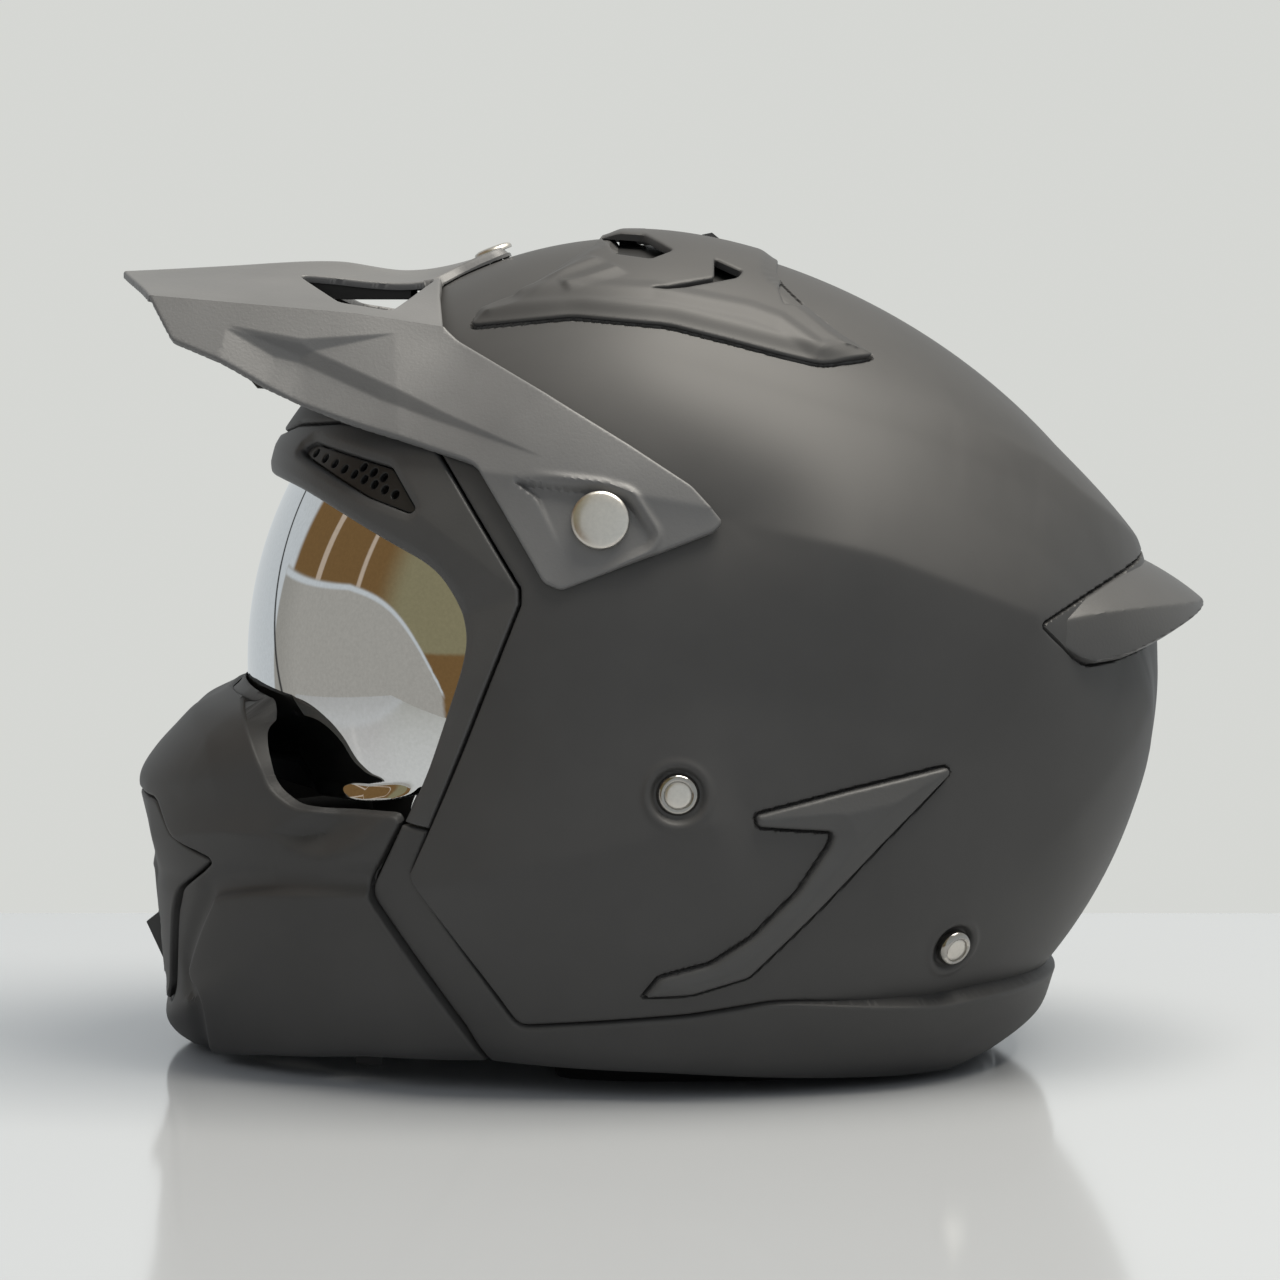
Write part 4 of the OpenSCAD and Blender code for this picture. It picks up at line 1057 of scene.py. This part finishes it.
def chin_insert():
    """The centre of the guard, with two air intakes a side and the slider's slot."""
    def opening(s, box, radius):
        y, z, half_y, half_z = box
        dy = np.abs(s.y - y) - half_y + radius
        dz = np.abs(s.z - z) - half_z + radius
        outside = np.hypot(np.maximum(dy, 0), np.maximum(dz, 0))
        return outside + np.minimum(np.maximum(dy, dz), 0) - radius

    def holes(s):
        gap = opening(s, SLIDER_SLOT, 1.5)
        for box in INTAKES:
            gap = np.minimum(gap, opening(s, box, 2.5))
        return gap

    def edge(s):
        return np.where(s.x > 120, np.minimum(room(s, INSERT_EDGE), holes(s)), OUTSIDE)

    def rise(s, f):
        hood = 1.2 * (1 - smoothstep(holes(s), 0, 5)) * (s.y > 5)
        pillar = 1.5 * smoothstep(s.y, 20, 26) * (1 - smoothstep(s.z, 50, 58))
        pillar *= smoothstep(s.z, 12, 20)
        return guard_form(s) * 0.6 + hood + pillar - roll(f, 0.9)

    panel("chin_insert_panel", ["chin_vent_frame"], "shell_matte", CHIN, edge, rise,
          body="chin_bar", inner=guard_inner, size=fine_inside(0.9, reach=3.0))


# Peak: a deck and two side faces that meet in a crease, in terms of x and of q, which is 0
# in the middle, 1 at the crease and 2 far down the side

STAND_OFF = 5.5
PEAK_WALL = 2.2
FREE_EASE = 3000.0
WING_EASE = 300.0
SIDE_FALL = 90.0
TIP = (165.8, 0, 239.2)
FRONT_CORNER = (151, 66, 231.5)
FRONT_LOWER = (143.5, 75, 218.5)
CREASE_MID = (90, 74, 226.2)
CREASE_REAR = (63.5, 78, 222.2)
DECK_REAR = (66, 46, 231.5)
LOWER_EDGE = [(125, 83, 211), (105, 87, 202), (93, 89, 197.4)]
TONGUE = [(68, 17, 237.6), (57, 14, 242.7), (47, 12, 246.8)]
CENTRE = [(130, 0, 241), (97, 0, 242), (80, 0, 239.5), (57, 0, 243.2), (47, 0, 246.8)]
WING = [(59.3, 218.3), (34, 204), (9.6, 189.3), (-8.5, 177.5), (-17, 167.7), (-16, 165.5),
        (26, 149), (32, 150), (53.3, 183), (30, 175), (10, 172), (44, 196), (20, 160)]
PEAK_HOLE = rounded([(110, 20), (68.5, 24), (80, 63), (95, 58)], 3, closed=True)
DECK = [(165.8, 0), (151, 66), (149, 80), (63.5, 90), (63.5, 78), (66, 46), (67, 20), (62, 15.5),
        (50, 12.5), (47, 9), (47, -9), (168, -9)]
SIDE = [(152.5, 245), (151, 231.5), (143.5, 218.5), (125, 211), (105, 202), (93, 197.4),
        (56, 184.6), (53.3, 183), (34, 151), (29, 149), (-15, 165.2), (-17.5, 167.7),
        (-8.5, 177.5), (9.6, 189.3), (34, 204), (59.3, 218.3), (63.5, 222.2), (63.5, 245)]
EMBOSS_A = [(127, 222.6), (105, 218.6), (78, 220.2)]
EMBOSS_B = [(127.5, 221.8), (104.6, 217.4), (63.8, 198), (34, 185.3)]
WING_CREASE = [(56, 182), (43.3, 180.1), (13.6, 178.7), (6.5, 174.7), (-13.5, 171.2)]
RECESS = rounded([(43, 179.3), (16.5, 176), (9.6, 173.9), (2.5, 164), (4, 161.3), (25, 152),
                  (27, 155.5), (36, 174.3)], 1.6, closed=True)
RECESS_DEPTH = 3.3
EMBOSS_SLOPE = 0.62


class Spline:
    """A thin sheet bent through given heights over the plane, or past them where it is eased."""

    def __init__(self, places, heights, ease=0.0):
        self.places = np.asarray(places, float)
        n = len(self.places)
        flat = np.column_stack([np.ones(n), self.places])
        stiff = self.kernel(self.places) + np.diag(np.zeros(n) + ease)
        system = np.block([[stiff, flat], [flat.T, np.zeros((3, 3))]])
        self.weights = np.linalg.solve(system, np.concatenate([heights, np.zeros(3)]))

    def kernel(self, at):
        gap = ((at[:, None] - self.places[None]) ** 2).sum(2)
        return gap * np.log(np.maximum(gap, 1e-12))

    def __call__(self, u, v):
        at = np.column_stack([u, v])
        k = self.kernel(at)
        return k @ self.weights[:-3] + self.weights[-3] + at @ self.weights[-2:]


class Peak:
    """The peak's outer face."""

    def __init__(self):
        sides = [FRONT_CORNER, FRONT_LOWER, CREASE_MID, CREASE_REAR] + LOWER_EDGE
        ease = [FREE_EASE] * len(sides) + [WING_EASE] * len(WING)
        sides += [(x, SHELL.height(x, z) + STAND_OFF, z) for x, z in WING]
        x, y, z = np.array(sides, float).T
        self.side = Spline(np.column_stack([x, z]), y, ease)
        self.crease_x = [-25, 40, 63.5, 90, 151, 170]
        self.crease_z = [190, 216, 222.2, 226.2, 231.5, 233]
        along = np.linspace(63.5, 151, 9)
        level = np.interp(along, self.crease_x, self.crease_z)
        crease = np.column_stack([along, self.side(along, level), level])
        deck = np.array([TIP, DECK_REAR, (159, 33, 235.6)] + TONGUE + CENTRE, float)
        x, y, z = np.vstack([deck, crease]).T
        self.deck = Spline(np.column_stack([x, y]), z)

    def point(self, x, q):
        edge_z = np.interp(x, self.crease_x, self.crease_z)
        edge_y = self.side(x, edge_z)
        side_z = edge_z - np.maximum(q - 1, 0) * SIDE_FALL
        on_deck = q < 1
        y = np.where(on_deck, q * edge_y, self.side(x, side_z))
        z = np.where(on_deck, self.deck(x, np.minimum(q, 1) * edge_y), side_z)
        return np.stack([x, y, z], 1)

    def place(self, way):
        x, side, q = way[:, 0], np.sign(way[:, 1]), np.abs(way[:, 1])
        p = self.point(x, q)
        fore = self.point(x + 0.5, q) - self.point(x - 0.5, q)
        low = np.maximum(q - 0.01, 0)
        out = self.point(x, q + 0.01) - self.point(x, low)
        n = np.cross(fore, out)
        n *= np.sign(n[:, 2:] + n[:, 1:2])
        n /= np.linalg.norm(n, axis=1)[:, None]
        flip = np.column_stack([np.ones(len(x)), side, np.ones(len(x))])
        return Spots(p * flip, n * flip, way)


def peak():
    """The peak's panel: a base grid over x and q, embossed and creased sides, sunk screw seats,
    and a hem where the tongue meets the shell."""
    surface = Peak()
    xs, qs = np.arange(-24, 172, 4.0), np.linspace(-2, 2, 65)
    way = np.stack(np.meshgrid(xs, qs, indexing="ij"), -1).reshape(-1, 2)
    base = (way, grid_triangles(len(xs) - 1, len(qs) - 1))
    deck, side = rounded(DECK, 2, closed=True), rounded(SIDE, 1.5, closed=True)

    def edge(s):
        q = np.abs(s.way[:, 1])
        over = np.minimum(signed_distance(s.x, s.y, deck)[0],
                          -signed_distance(s.x, s.y, PEAK_HOLE)[0])
        return np.where(q < 1 - 1e-9, over, signed_distance(s.x, s.z, side)[0])

    def recess(s):
        return signed_distance(s.x, s.z, RECESS)[0]

    def form(s):
        a, along_a = beside(s.x, s.z, EMBOSS_A)
        b, along_b = beside(s.x, s.z, EMBOSS_B)
        width_a = 3.2 * np.minimum(along_a / 0.45, (1 - along_a) / 0.55)
        width_b = 3.6 * np.minimum(1, np.minimum(along_b / 0.15, (1 - along_b) / 0.5))
        h = -EMBOSS_SLOPE * (np.clip(a, 0, width_a) + np.clip(b, 0, width_b))
        d, _ = beside(s.x, s.z, WING_CREASE)
        h -= 3.6 * (1 - np.exp(-soft_ramp(d, 0.3) / 9)) * (1 - smoothstep(s.x, 50, 62))
        pit = recess(s)
        sunk = smoothstep(pit, -0.4, 0.9)
        low_right = 1 - smoothstep(s.x - 0.6 * (s.z - 165), 12, 30)
        h += 1.1 * np.exp(-((pit + 1.9) / 1.1) ** 2) * low_right
        h = h * (1 - sunk) - RECESS_DEPTH * sunk
        return np.where(np.abs(s.way[:, 1]) < 1 - 1e-9, 0, h)

    def rise(s, f):
        clear = np.maximum(0, -SHELL.depth(s.p) - 1.2)
        tongue = (s.x < 72) & (s.y < 24) & (np.abs(s.way[:, 1]) < 1)
        hem = np.where(tongue, np.minimum(clear, 4.0) * (1 - smoothstep(f, 0, 2.2)), 0)
        return form(s) - roll(f, 0.8) - hem

    def inner(s, outer):
        shade_back = s.p + s.n * (np.maximum(form(s), -RECESS_DEPTH) - PEAK_WALL
                            + 0.7 * smoothstep(recess(s), -1, 1))[:, None]
        lift = np.where(s.x < 62, np.maximum(0, 0.4 + SHELL.depth(shade_back)), 0)
        lift = np.minimum(lift, 1.6)
        return shade_back + s.n * lift[:, None]

    def size(s, f):
        wing = (s.x < 58) & (np.abs(s.way[:, 1]) > 0.9)
        emboss = (np.abs(beside(s.x, s.z, EMBOSS_A)[0]) < 5) | (
            np.abs(beside(s.x, s.z, EMBOSS_B)[0]) < 5)
        emboss &= np.abs(s.way[:, 1]) > 0.99
        emboss &= s.x < 130
        tongue = (s.x < 72) & (s.y < 24)
        return np.where(emboss, 0.55, np.where(wing | tongue, 0.7, np.where(np.abs(f) < 2, 1.0, 2.4)))

    # The peak takes the lighter copy of the grained plastic, whose extra lightness is painted sheen
    panel("peak_panel", ["peak"], "grained_plastic", surface, edge, rise, material=PEAK_PLASTIC_PAINTED_SHEEN,
          inner=inner, base=base, size=size, levels=(0.12, 0.4, 0.75))


HOLE_WALL = 1.6
HOLE_WALL_X = (76, 111)
HOLE_WALL_START = (110, 18.4)
HOLE_WALL_LEAN = 0.096
HOLE_WALL_SINK = 1.2
HOLE_WALL_LOWEST = 230.5
CROWN_CLEAR = 1.0


def hole_walls():
    """Black walls that hang from the peak along the inner side of its holes, to the shell."""
    deck = Peak().deck
    for side, name in SIDES:
        rings = []
        for x in np.linspace(*HOLE_WALL_X, 15):
            y = HOLE_WALL_START[1] + (HOLE_WALL_START[0] - x) * HOLE_WALL_LEAN
            top = deck(np.array([x]), np.array([y]))[0] - HOLE_WALL_SINK
            crown = PIVOT[2] + math.sqrt(BROW_R ** 2 - (x - PIVOT[0]) ** 2)
            low = min(max(HOLE_WALL_LOWEST, crown + CROWN_CLEAR), top - 0.5)
            section = ((0, top), (HOLE_WALL, top), (HOLE_WALL, low), (0, low))
            rings.append([(x, side * (y - across), level) for across, level in section])
        piece(swept(f"peak_hole_wall_{name}", rings, LOOKS["black_plastic"]), "helmet", [])


# Rivets and screws: turned profiles of (radius, height)

def turned(name, profile, material, place, n, turns=72):
    """A turned piece that stands on a place along a direction."""
    n = np.array(n, float) / np.linalg.norm(n)
    u = np.cross(n, (0, 0, 1.0) if abs(n[2]) < 0.9 else (1.0, 0, 0))
    u /= np.linalg.norm(u)
    v = np.cross(n, u)
    angle = np.arange(turns) * 2 * math.pi / turns
    around = np.cos(angle)[:, None] * u + np.sin(angle)[:, None] * v
    return swept(name, [place + r * around + h * n for r, h in profile], material)


RIVET_OFF = 0.3
REAR_RIVET_SHARE = 0.88
RIVET_RING = [(3.9, 1.2), (4.1, 1.65), (4.6, 1.85), (5.2, 1.7), (6.1, 0.7), (6.25, 0.2),
              (6.1, -1.5)]
RIVET_CENTRE = [(1.2, 1.56), (2.8, 1.5), (3.7, 1.35), (3.95, 1.1), (3.95, 0.2)]
BUTTON = [(2, 1.55), (5, 1.42), (7.2, 1.15), (8.0, 0.75), (8.3, 0.2), (8.3, -3.0)]
TOP_BUTTON = [(2, 2.0), (4.4, 1.85), (5.6, 1.4), (6, 0.8), (6, 0)]
TOP_SEAT = (51.5, 0.0)


def rivets(kind, spot, node, share=1.0):
    """A ring and a centre on both sides, on the shell, in a share of the drawn width."""
    x, y, z = SHELL.line([spot])[0]
    for side, name in SIDES:
        slope = SHELL.slope(np.array([[x, side * y, z]]))[0]
        n = slope / np.linalg.norm(slope)
        place = np.array([x, side * y, z]) + n * RIVET_OFF
        for part, profile, slot in (("ring", RIVET_RING, "polished_steel"),
                                    ("centre", RIVET_CENTRE, "satin_steel")):
            profile = [(r * share, h) for r, h in profile]
            obj = turned(f"{kind}_{part}_{name}", profile, LOOKS[slot], place, n)
            piece(obj, "helmet", [node])


def hardware():
    rivets("front_rivet", FRONT_RIVET, "strap_rivets_front")
    rivets("rear_rivet", REAR_RIVET, "strap_rivets_rear", REAR_RIVET_SHARE)
    x, y, z = SHELL.line([SIDE_SCREW])[0]
    for side, name in SIDES:
        seat = np.array([x, side * (y + STAND_OFF - 0.2), z])
        head = turned(f"peak_screw_{name}", BUTTON, LOOKS["satin_steel"], seat, (0.02, side, 0.1))
        piece(head, "helmet", ["peak_side_screws"])
    seat = Peak().place(np.array([TOP_SEAT]))
    top = turned("peak_top_screw_head", TOP_BUTTON, LOOKS["satin_steel"],
                 seat.p[0] - 0.5 * seat.n[0], seat.n[0])
    piece(top, "helmet", ["peak_top_screw"])


# Straps: flat webbing along a path of (y, z), which lies on its outer face

STRAP_X = (-16, 6)
STRAP_WALL = 1.8
ROLL_OVER = 18.6
WEB_EDGE = 1.15
WEB_SECTION = [(-1, 0), (-0.97, 0.8), (-0.9, WEB_EDGE), (-0.8, 1), (0.8, 1), (0.9, WEB_EDGE),
               (0.97, 0.8), (1, 0), (0.97, -0.8), (0.9, -WEB_EDGE), (0.8, -1), (-0.8, -1),
               (-0.9, -WEB_EDGE), (-0.97, -0.8)]


def strap_wall_y(z):
    return min(SHELL.height(x, z, SHELL_WALL + 0.6) for x in STRAP_X)


STRAP_DOWN = [(strap_wall_y(z), z) for z in (98, 82, 66, 50, 38, 28)]
STRAP_DOWN += [(strap_wall_y(22) - 4, 21), (HALF_WIDTH - 26, ROLL_OVER), (60, ROLL_OVER)]
LEFT_RUN = [(52, 17), (45, 11), (38, 8.8), (22, 8.8)]
END_RUN = [(82, ROLL_OVER + 2.4), (52, ROLL_OVER + 2.4), (46, 19.4), (38.6, 13), (38.6, 6)]


def webbing(name, path, side, body, node):
    """A strap whose section has thin edges and a bead beside each of them."""
    line = resampled(rounded(path, 4), 2.5)
    ahead = np.gradient(line, axis=0)
    ahead /= np.linalg.norm(ahead, axis=1)[:, None]
    inward = np.column_stack([ahead[:, 1], -ahead[:, 0]])
    middle, half = sum(STRAP_X) / 2, (STRAP_X[1] - STRAP_X[0]) / 2
    rings = []
    for (y, z), (ny, nz) in zip(line, inward):
        ring = [(a, STRAP_WALL / 2 * (1 + b / WEB_EDGE)) for a, b in WEB_SECTION]
        rings.append([(middle + a * half, side * (y + ny * t), z + nz * t) for a, t in ring])
    piece(swept(name, rings, LOOKS["webbing"], crease=50), body, [node])


def straps():
    webbing("strap_left_webbing", STRAP_DOWN + LEFT_RUN, 1, "helmet", "chin_strap_left")
    webbing("strap_right_webbing", STRAP_DOWN[:-1] + [(72, ROLL_OVER)], -1, "helmet",
            "chin_strap_right")
    webbing("strap_end_webbing", END_RUN, -1, "strap_tongue", "strap_end_right")


# Pads: the plain CAD solid, remeshed, blown up as cloth and held near its first shape

PAD_SHRINK = 1.2
PAD_PRESSURE = 4.0


def evaluated(obj):
    depsgraph = bpy.context.evaluated_depsgraph_get()
    return bpy.data.meshes.new_from_object(obj.evaluated_get(depsgraph))


def corners_of(mesh):
    return values(mesh.vertices, "co", 3)


def baked(obj):
    """Replaces an object's mesh by what its modifiers make of it."""
    mesh = evaluated(obj)
    obj.modifiers.clear()
    obj.data = mesh
    return mesh


def blown_up(obj):
    """Where an object's corners are after it swells as cloth."""
    scene = bpy.context.scene
    cloth = obj.modifiers.new("cloth", "CLOTH")
    settings = cloth.settings
    settings.quality = 6
    settings.mass = 0.3
    settings.tension_stiffness = settings.compression_stiffness = 20
    settings.bending_stiffness = 0.5
    settings.use_pressure = True
    settings.uniform_pressure_force = PAD_PRESSURE
    settings.effector_weights.gravity = 0
    for step in range(1, 21):
        scene.frame_set(step)
    moved = corners_of(evaluated(obj))
    obj.modifiers.clear()
    scene.frame_set(1)
    return moved


def cushion(node, body, slot, voxel, cap, seams=None):
    """A pad in the place of a CAD solid: voxel and cap, its most swelling, in millimetres."""
    source = frame["nodes"][node]
    mesh = source.data.copy()
    mesh.transform(source.matrix_world)
    obj = linked(f"{node}_cover", mesh)
    remesh = obj.modifiers.new("remesh", "REMESH")
    remesh.mode, remesh.voxel_size = "VOXEL", voxel * MM
    smooth = obj.modifiers.new("smooth", "SMOOTH")
    smooth.factor, smooth.iterations = 0.5, 6
    mesh = baked(obj)
    first = corners_of(mesh)
    normals = values(mesh.vertices, "normal", 3)
    start = first - normals * PAD_SHRINK * MM
    mesh.vertices.foreach_set("co", start.ravel())
    mesh.update()
    moved = blown_up(obj)
    move = moved - first
    size = np.linalg.norm(move, axis=1)[:, None]
    co = first + move * np.minimum(1, cap * MM / np.maximum(size, 1e-9))
    if seams is not None:
        co -= normals * (seams(co / MM) * MM)[:, None]
    if node == "neck_roll":
        # The helmet stands on it
        co[:, 2] -= co[:, 2].min()
    mesh.vertices.foreach_set("co", co.ravel())
    mesh.update()
    subdivide = obj.modifiers.new("subdivide", "SUBSURF")
    subdivide.levels = subdivide.render_levels = 1
    mesh = baked(obj)
    mesh.polygons.foreach_set("use_smooth", np.ones(len(mesh.polygons), bool))
    mesh.materials.clear()
    mesh.materials.append(LOOKS[slot])
    piece(obj, body, [node])


def channels(places, axis, width=3.0, depth=2.5):
    """Sewn channels across an axis at the given places."""
    def drop(p):
        best = np.min([np.abs(p[:, axis] - place) for place in places], axis=0)
        return depth * np.exp(-(best / width) ** 2)
    return drop


def roll_seam(p):
    """A sewn line round the outside of the neck roll."""
    return 0.8 * np.exp(-((p[:, 2] - 9) / 1.6) ** 2)


def pads():
    cushion("neck_roll", "helmet", "vinyl", voxel=4.0, cap=1.2, seams=roll_seam)
    cushion("crown_pad", "helmet", "lining", voxel=4.5, cap=1.5,
            seams=channels((-55, -14, 27), 0))
    for _, side in SIDES:
        cushion(f"cheek_pad_{side}", "helmet", "lining", voxel=4.5, cap=1.2,
                seams=channels((70,), 2, width=2.5, depth=1.5))
    cushion("chin_pad", "chin_bar", "lining", voxel=4.0, cap=1.0)


def soften_hardware():
    """Small moulded and metal pieces of the CAD keep their mesh, with broken edges."""
    for node, width in (("top_vent_slider", 0.35), ("chin_vent_slider", 0.5), ("peak_duct", 0.5),
                        ("release_left", 0.6), ("release_right", 0.6), ("buckle_receiver", 0.5),
                        ("buckle_lever", 0.4), ("buckle_tongue", 0.4), ("latch_tongues", 0.4)):
        obj = frame["nodes"][node]
        bevel = obj.modifiers.new("broken edges", "BEVEL")
        bevel.width = width * MM
        bevel.segments = 2
        bevel.limit_method = "ANGLE"
        bevel.angle_limit = math.radians(40)


outer_shell()
eyeport_frame()
brow_grilles()
lower_trim()
side_trims()
rear_spoiler()
vent_cover()
visor_lens()
chin_guard()
insert_seam()
chin_insert()
peak()
hole_walls()
hardware()
straps()
pads()
soften_hardware()


# Stage, lights and camera

def stage_plane(name, low, high, material):
    """A level plane between two opposite corners."""
    corners = [(low[0], low[1], 0), (high[0], low[1], 0), (high[0], high[1], 0),
               (low[0], high[1], 0)]
    mesh = bpy.data.meshes.new(name)
    mesh.from_pydata(corners, [], [(0, 1, 2, 3)])
    mesh.materials.append(material)
    obj = linked(name, mesh)
    return obj


# The table: the far parts aren't mirrored in the visor, which shows the room's colours there
TABLE_EDGE = -0.297
TABLE_NEAR = 0.45
TABLE_SIDE = 0.9
FLOOR_END = 3
FLOOR, _, floor_shader = new_material("floor paint")
floor_shader.inputs["Base Color"].default_value = (0.475, 0.49, 0.505, 1)
floor_shader.inputs["Roughness"].default_value = 0.1
for name, low, high in (("floor", (-TABLE_SIDE, TABLE_EDGE), (TABLE_SIDE, TABLE_NEAR)),
                        ("floor_left", (-FLOOR_END, TABLE_EDGE), (-TABLE_SIDE, FLOOR_END)),
                        ("floor_right", (TABLE_SIDE, TABLE_EDGE), (FLOOR_END, FLOOR_END)),
                        ("floor_near", (-TABLE_SIDE, TABLE_NEAR), (TABLE_SIDE, FLOOR_END))):
    plane = stage_plane(name, low, high, FLOOR)
    plane.visible_glossy = name == "floor"


def lamp(name, place, target, size, power, colour, mirrored=True):
    data = bpy.data.lights.new(name, "AREA")
    data.shape, data.size, data.energy, data.color = "SQUARE", size, power, colour
    obj = linked(name, data)
    obj.location = place
    way = mathutils.Vector(target) - mathutils.Vector(place)
    obj.rotation_euler = way.to_track_quat("-Z", "Y").to_euler()
    obj.visible_glossy = mirrored


lamp("top", (-0.45, 0.1, 1.7), (-0.02, 0, 0.12), 1.1, 46, (1, 0.95, 0.86))
lamp("front", (1.5, 0.9, 1.0), (0, 0, 0.12), 1.2, 5, (0.95, 0.97, 1), mirrored=False)
lamp("camera side", (0.0, 2.4, 0.8), (0, 0, 0.12), 1.6, 5, (0.93, 0.96, 1), mirrored=False)


class Graph:
    """Short calls for the world's shader nodes."""

    def __init__(self, tree):
        self.nodes, self.links = tree.nodes, tree.links

    def new(self, kind, *inputs, **settings):
        node = self.nodes.new(kind)
        for key, value in settings.items():
            setattr(node, key, value)
        for slot, value in zip(node.inputs, inputs):
            if isinstance(value, bpy.types.NodeSocket):
                self.links.new(value, slot)
            elif value is not None:
                slot.default_value = value
        return node.outputs[0]

    def calc(self, operation, *inputs):
        return self.new("ShaderNodeMath", *inputs, operation=operation)

    def step(self, value, low, high):
        return self.new("ShaderNodeMapRange", value, low, high, 0.0, 1.0,
                        interpolation_type="SMOOTHSTEP")

    def band(self, value, low, high, soft):
        rise = self.step(value, low - soft, low + soft)
        fall = self.step(value, high + soft, high - soft)
        return self.calc("MULTIPLY", rise, fall)

    def mix(self, factor, first, second):
        node = self.nodes.new("ShaderNodeMix")
        node.data_type = "RGBA"
        self.links.new(factor, node.inputs["Factor"])
        for name, value in (("A", first), ("B", second)):
            slot = [i for i in node.inputs if i.name == name and i.type == "RGBA"][0]
            if isinstance(value, tuple):
                slot.default_value = (*value, 1)
            else:
                self.links.new(value, slot)
        return [o for o in node.outputs if o.type == "RGBA"][0]


# The room that the mirrored visor shows: pale walls, and at the camera's side a cream cloth with
# a rounded corner before a brown corner of the room with two pale beams
WORLD_LIGHT = (0.36, 0.372, 0.388)
BEHIND = (0.67, 0.68, 0.655)
PALE = (0.55, 0.55, 0.53)
SILVER = (0.62, 0.65, 0.66)
CREAM = (0.43, 0.41, 0.37)
BROWN = (0.2, 0.115, 0.045)
OLIVE = (0.27, 0.24, 0.14)
TAN = (0.55, 0.44, 0.34)
DARK_LINE = (0.05, 0.05, 0.048)
UNDER = (0.36, 0.345, 0.31)


def room_world():
    """The world: a plain backdrop for the camera, the room for mirrors, and even light."""
    world = bpy.data.worlds.new("room")
    world.use_nodes = True
    g = Graph(world.node_tree)
    background = g.nodes["Background"]
    way = g.nodes.new("ShaderNodeTexCoord").outputs["Generated"]
    split = g.nodes.new("ShaderNodeSeparateXYZ")
    g.links.new(way, split.inputs[0])
    x, y, z = split.outputs
    turn = g.calc("DEGREES", g.calc("ARCTAN2", y, x))
    rise = g.calc("DEGREES", g.calc("ARCSINE", z))

    right = g.calc("MAXIMUM", turn, 0.0)
    left = g.calc("MINIMUM", turn, 0.0)
    cubed = g.calc("MULTIPLY", g.calc("POWER", right, 3.0), -0.00027)
    hem = g.calc("ADD", g.calc("MULTIPLY_ADD", left, 0.13, 14.0), cubed)
    above = g.calc("SUBTRACT", rise, hem)
    brown = g.calc("MULTIPLY", g.band(turn, -36, 70, 1.5), g.band(rise, -30, 62, 2))
    cloth = g.calc("MULTIPLY", g.band(turn, -41, 42, 0.7), g.step(above, 0.4, -0.4))
    beams = g.calc("MAXIMUM", g.band(turn, -19.5, -16.5, 0.4), g.band(turn, 3.2, 5.2, 0.4))
    beams = g.calc("MAXIMUM", beams, g.band(rise, 35, 37, 0.5))
    edge = g.band(g.calc("MULTIPLY_ADD", rise, 0.87, turn), -42.2, -40.6, 0.5)
    hem_line = g.calc("MULTIPLY", g.band(above, -1.2, -0.2, 0.3), cloth)

    seen = g.mix(g.step(rise, 10, 40), SILVER, PALE)
    wood = g.mix(g.step(turn, 12, 26), BROWN, OLIVE)
    wood = g.mix(g.band(rise, -30, 2, 0.6), wood, BROWN)
    seen = g.mix(brown, seen, g.mix(beams, wood, TAN))
    shade = g.mix(g.step(turn, -40, -22), UNDER, CREAM)
    seen = g.mix(cloth, seen, shade)
    seen = g.mix(hem_line, seen, SILVER)
    seen = g.mix(g.calc("MULTIPLY", edge, g.band(rise, -40, 20, 2)), seen, DARK_LINE)
    path = g.nodes.new("ShaderNodeLightPath").outputs
    light = g.mix(path["Is Glossy Ray"], WORLD_LIGHT, seen)
    light = g.mix(path["Is Camera Ray"], light, BEHIND)
    g.links.new(light, background.inputs["Color"])
    background.inputs["Strength"].default_value = 1.0
    bpy.context.scene.world = world


room_world()

# The camera looks from the helmet's left side at its middle, from a little above
CAMERA_PLACE = (0.0062, 1.4, 0.225)
CAMERA_TILT = 4.09

camera_data = bpy.data.cameras.new("camera")
camera_data.lens = 127.0
camera_data.sensor_width = 36.0
camera_data.clip_end = 20
camera = linked("camera", camera_data)
camera.location = CAMERA_PLACE
camera.rotation_euler = (math.radians(90 - CAMERA_TILT), 0, math.radians(180))
bpy.context.scene.camera = camera
bpy.context.scene.view_settings.view_transform = "Standard"
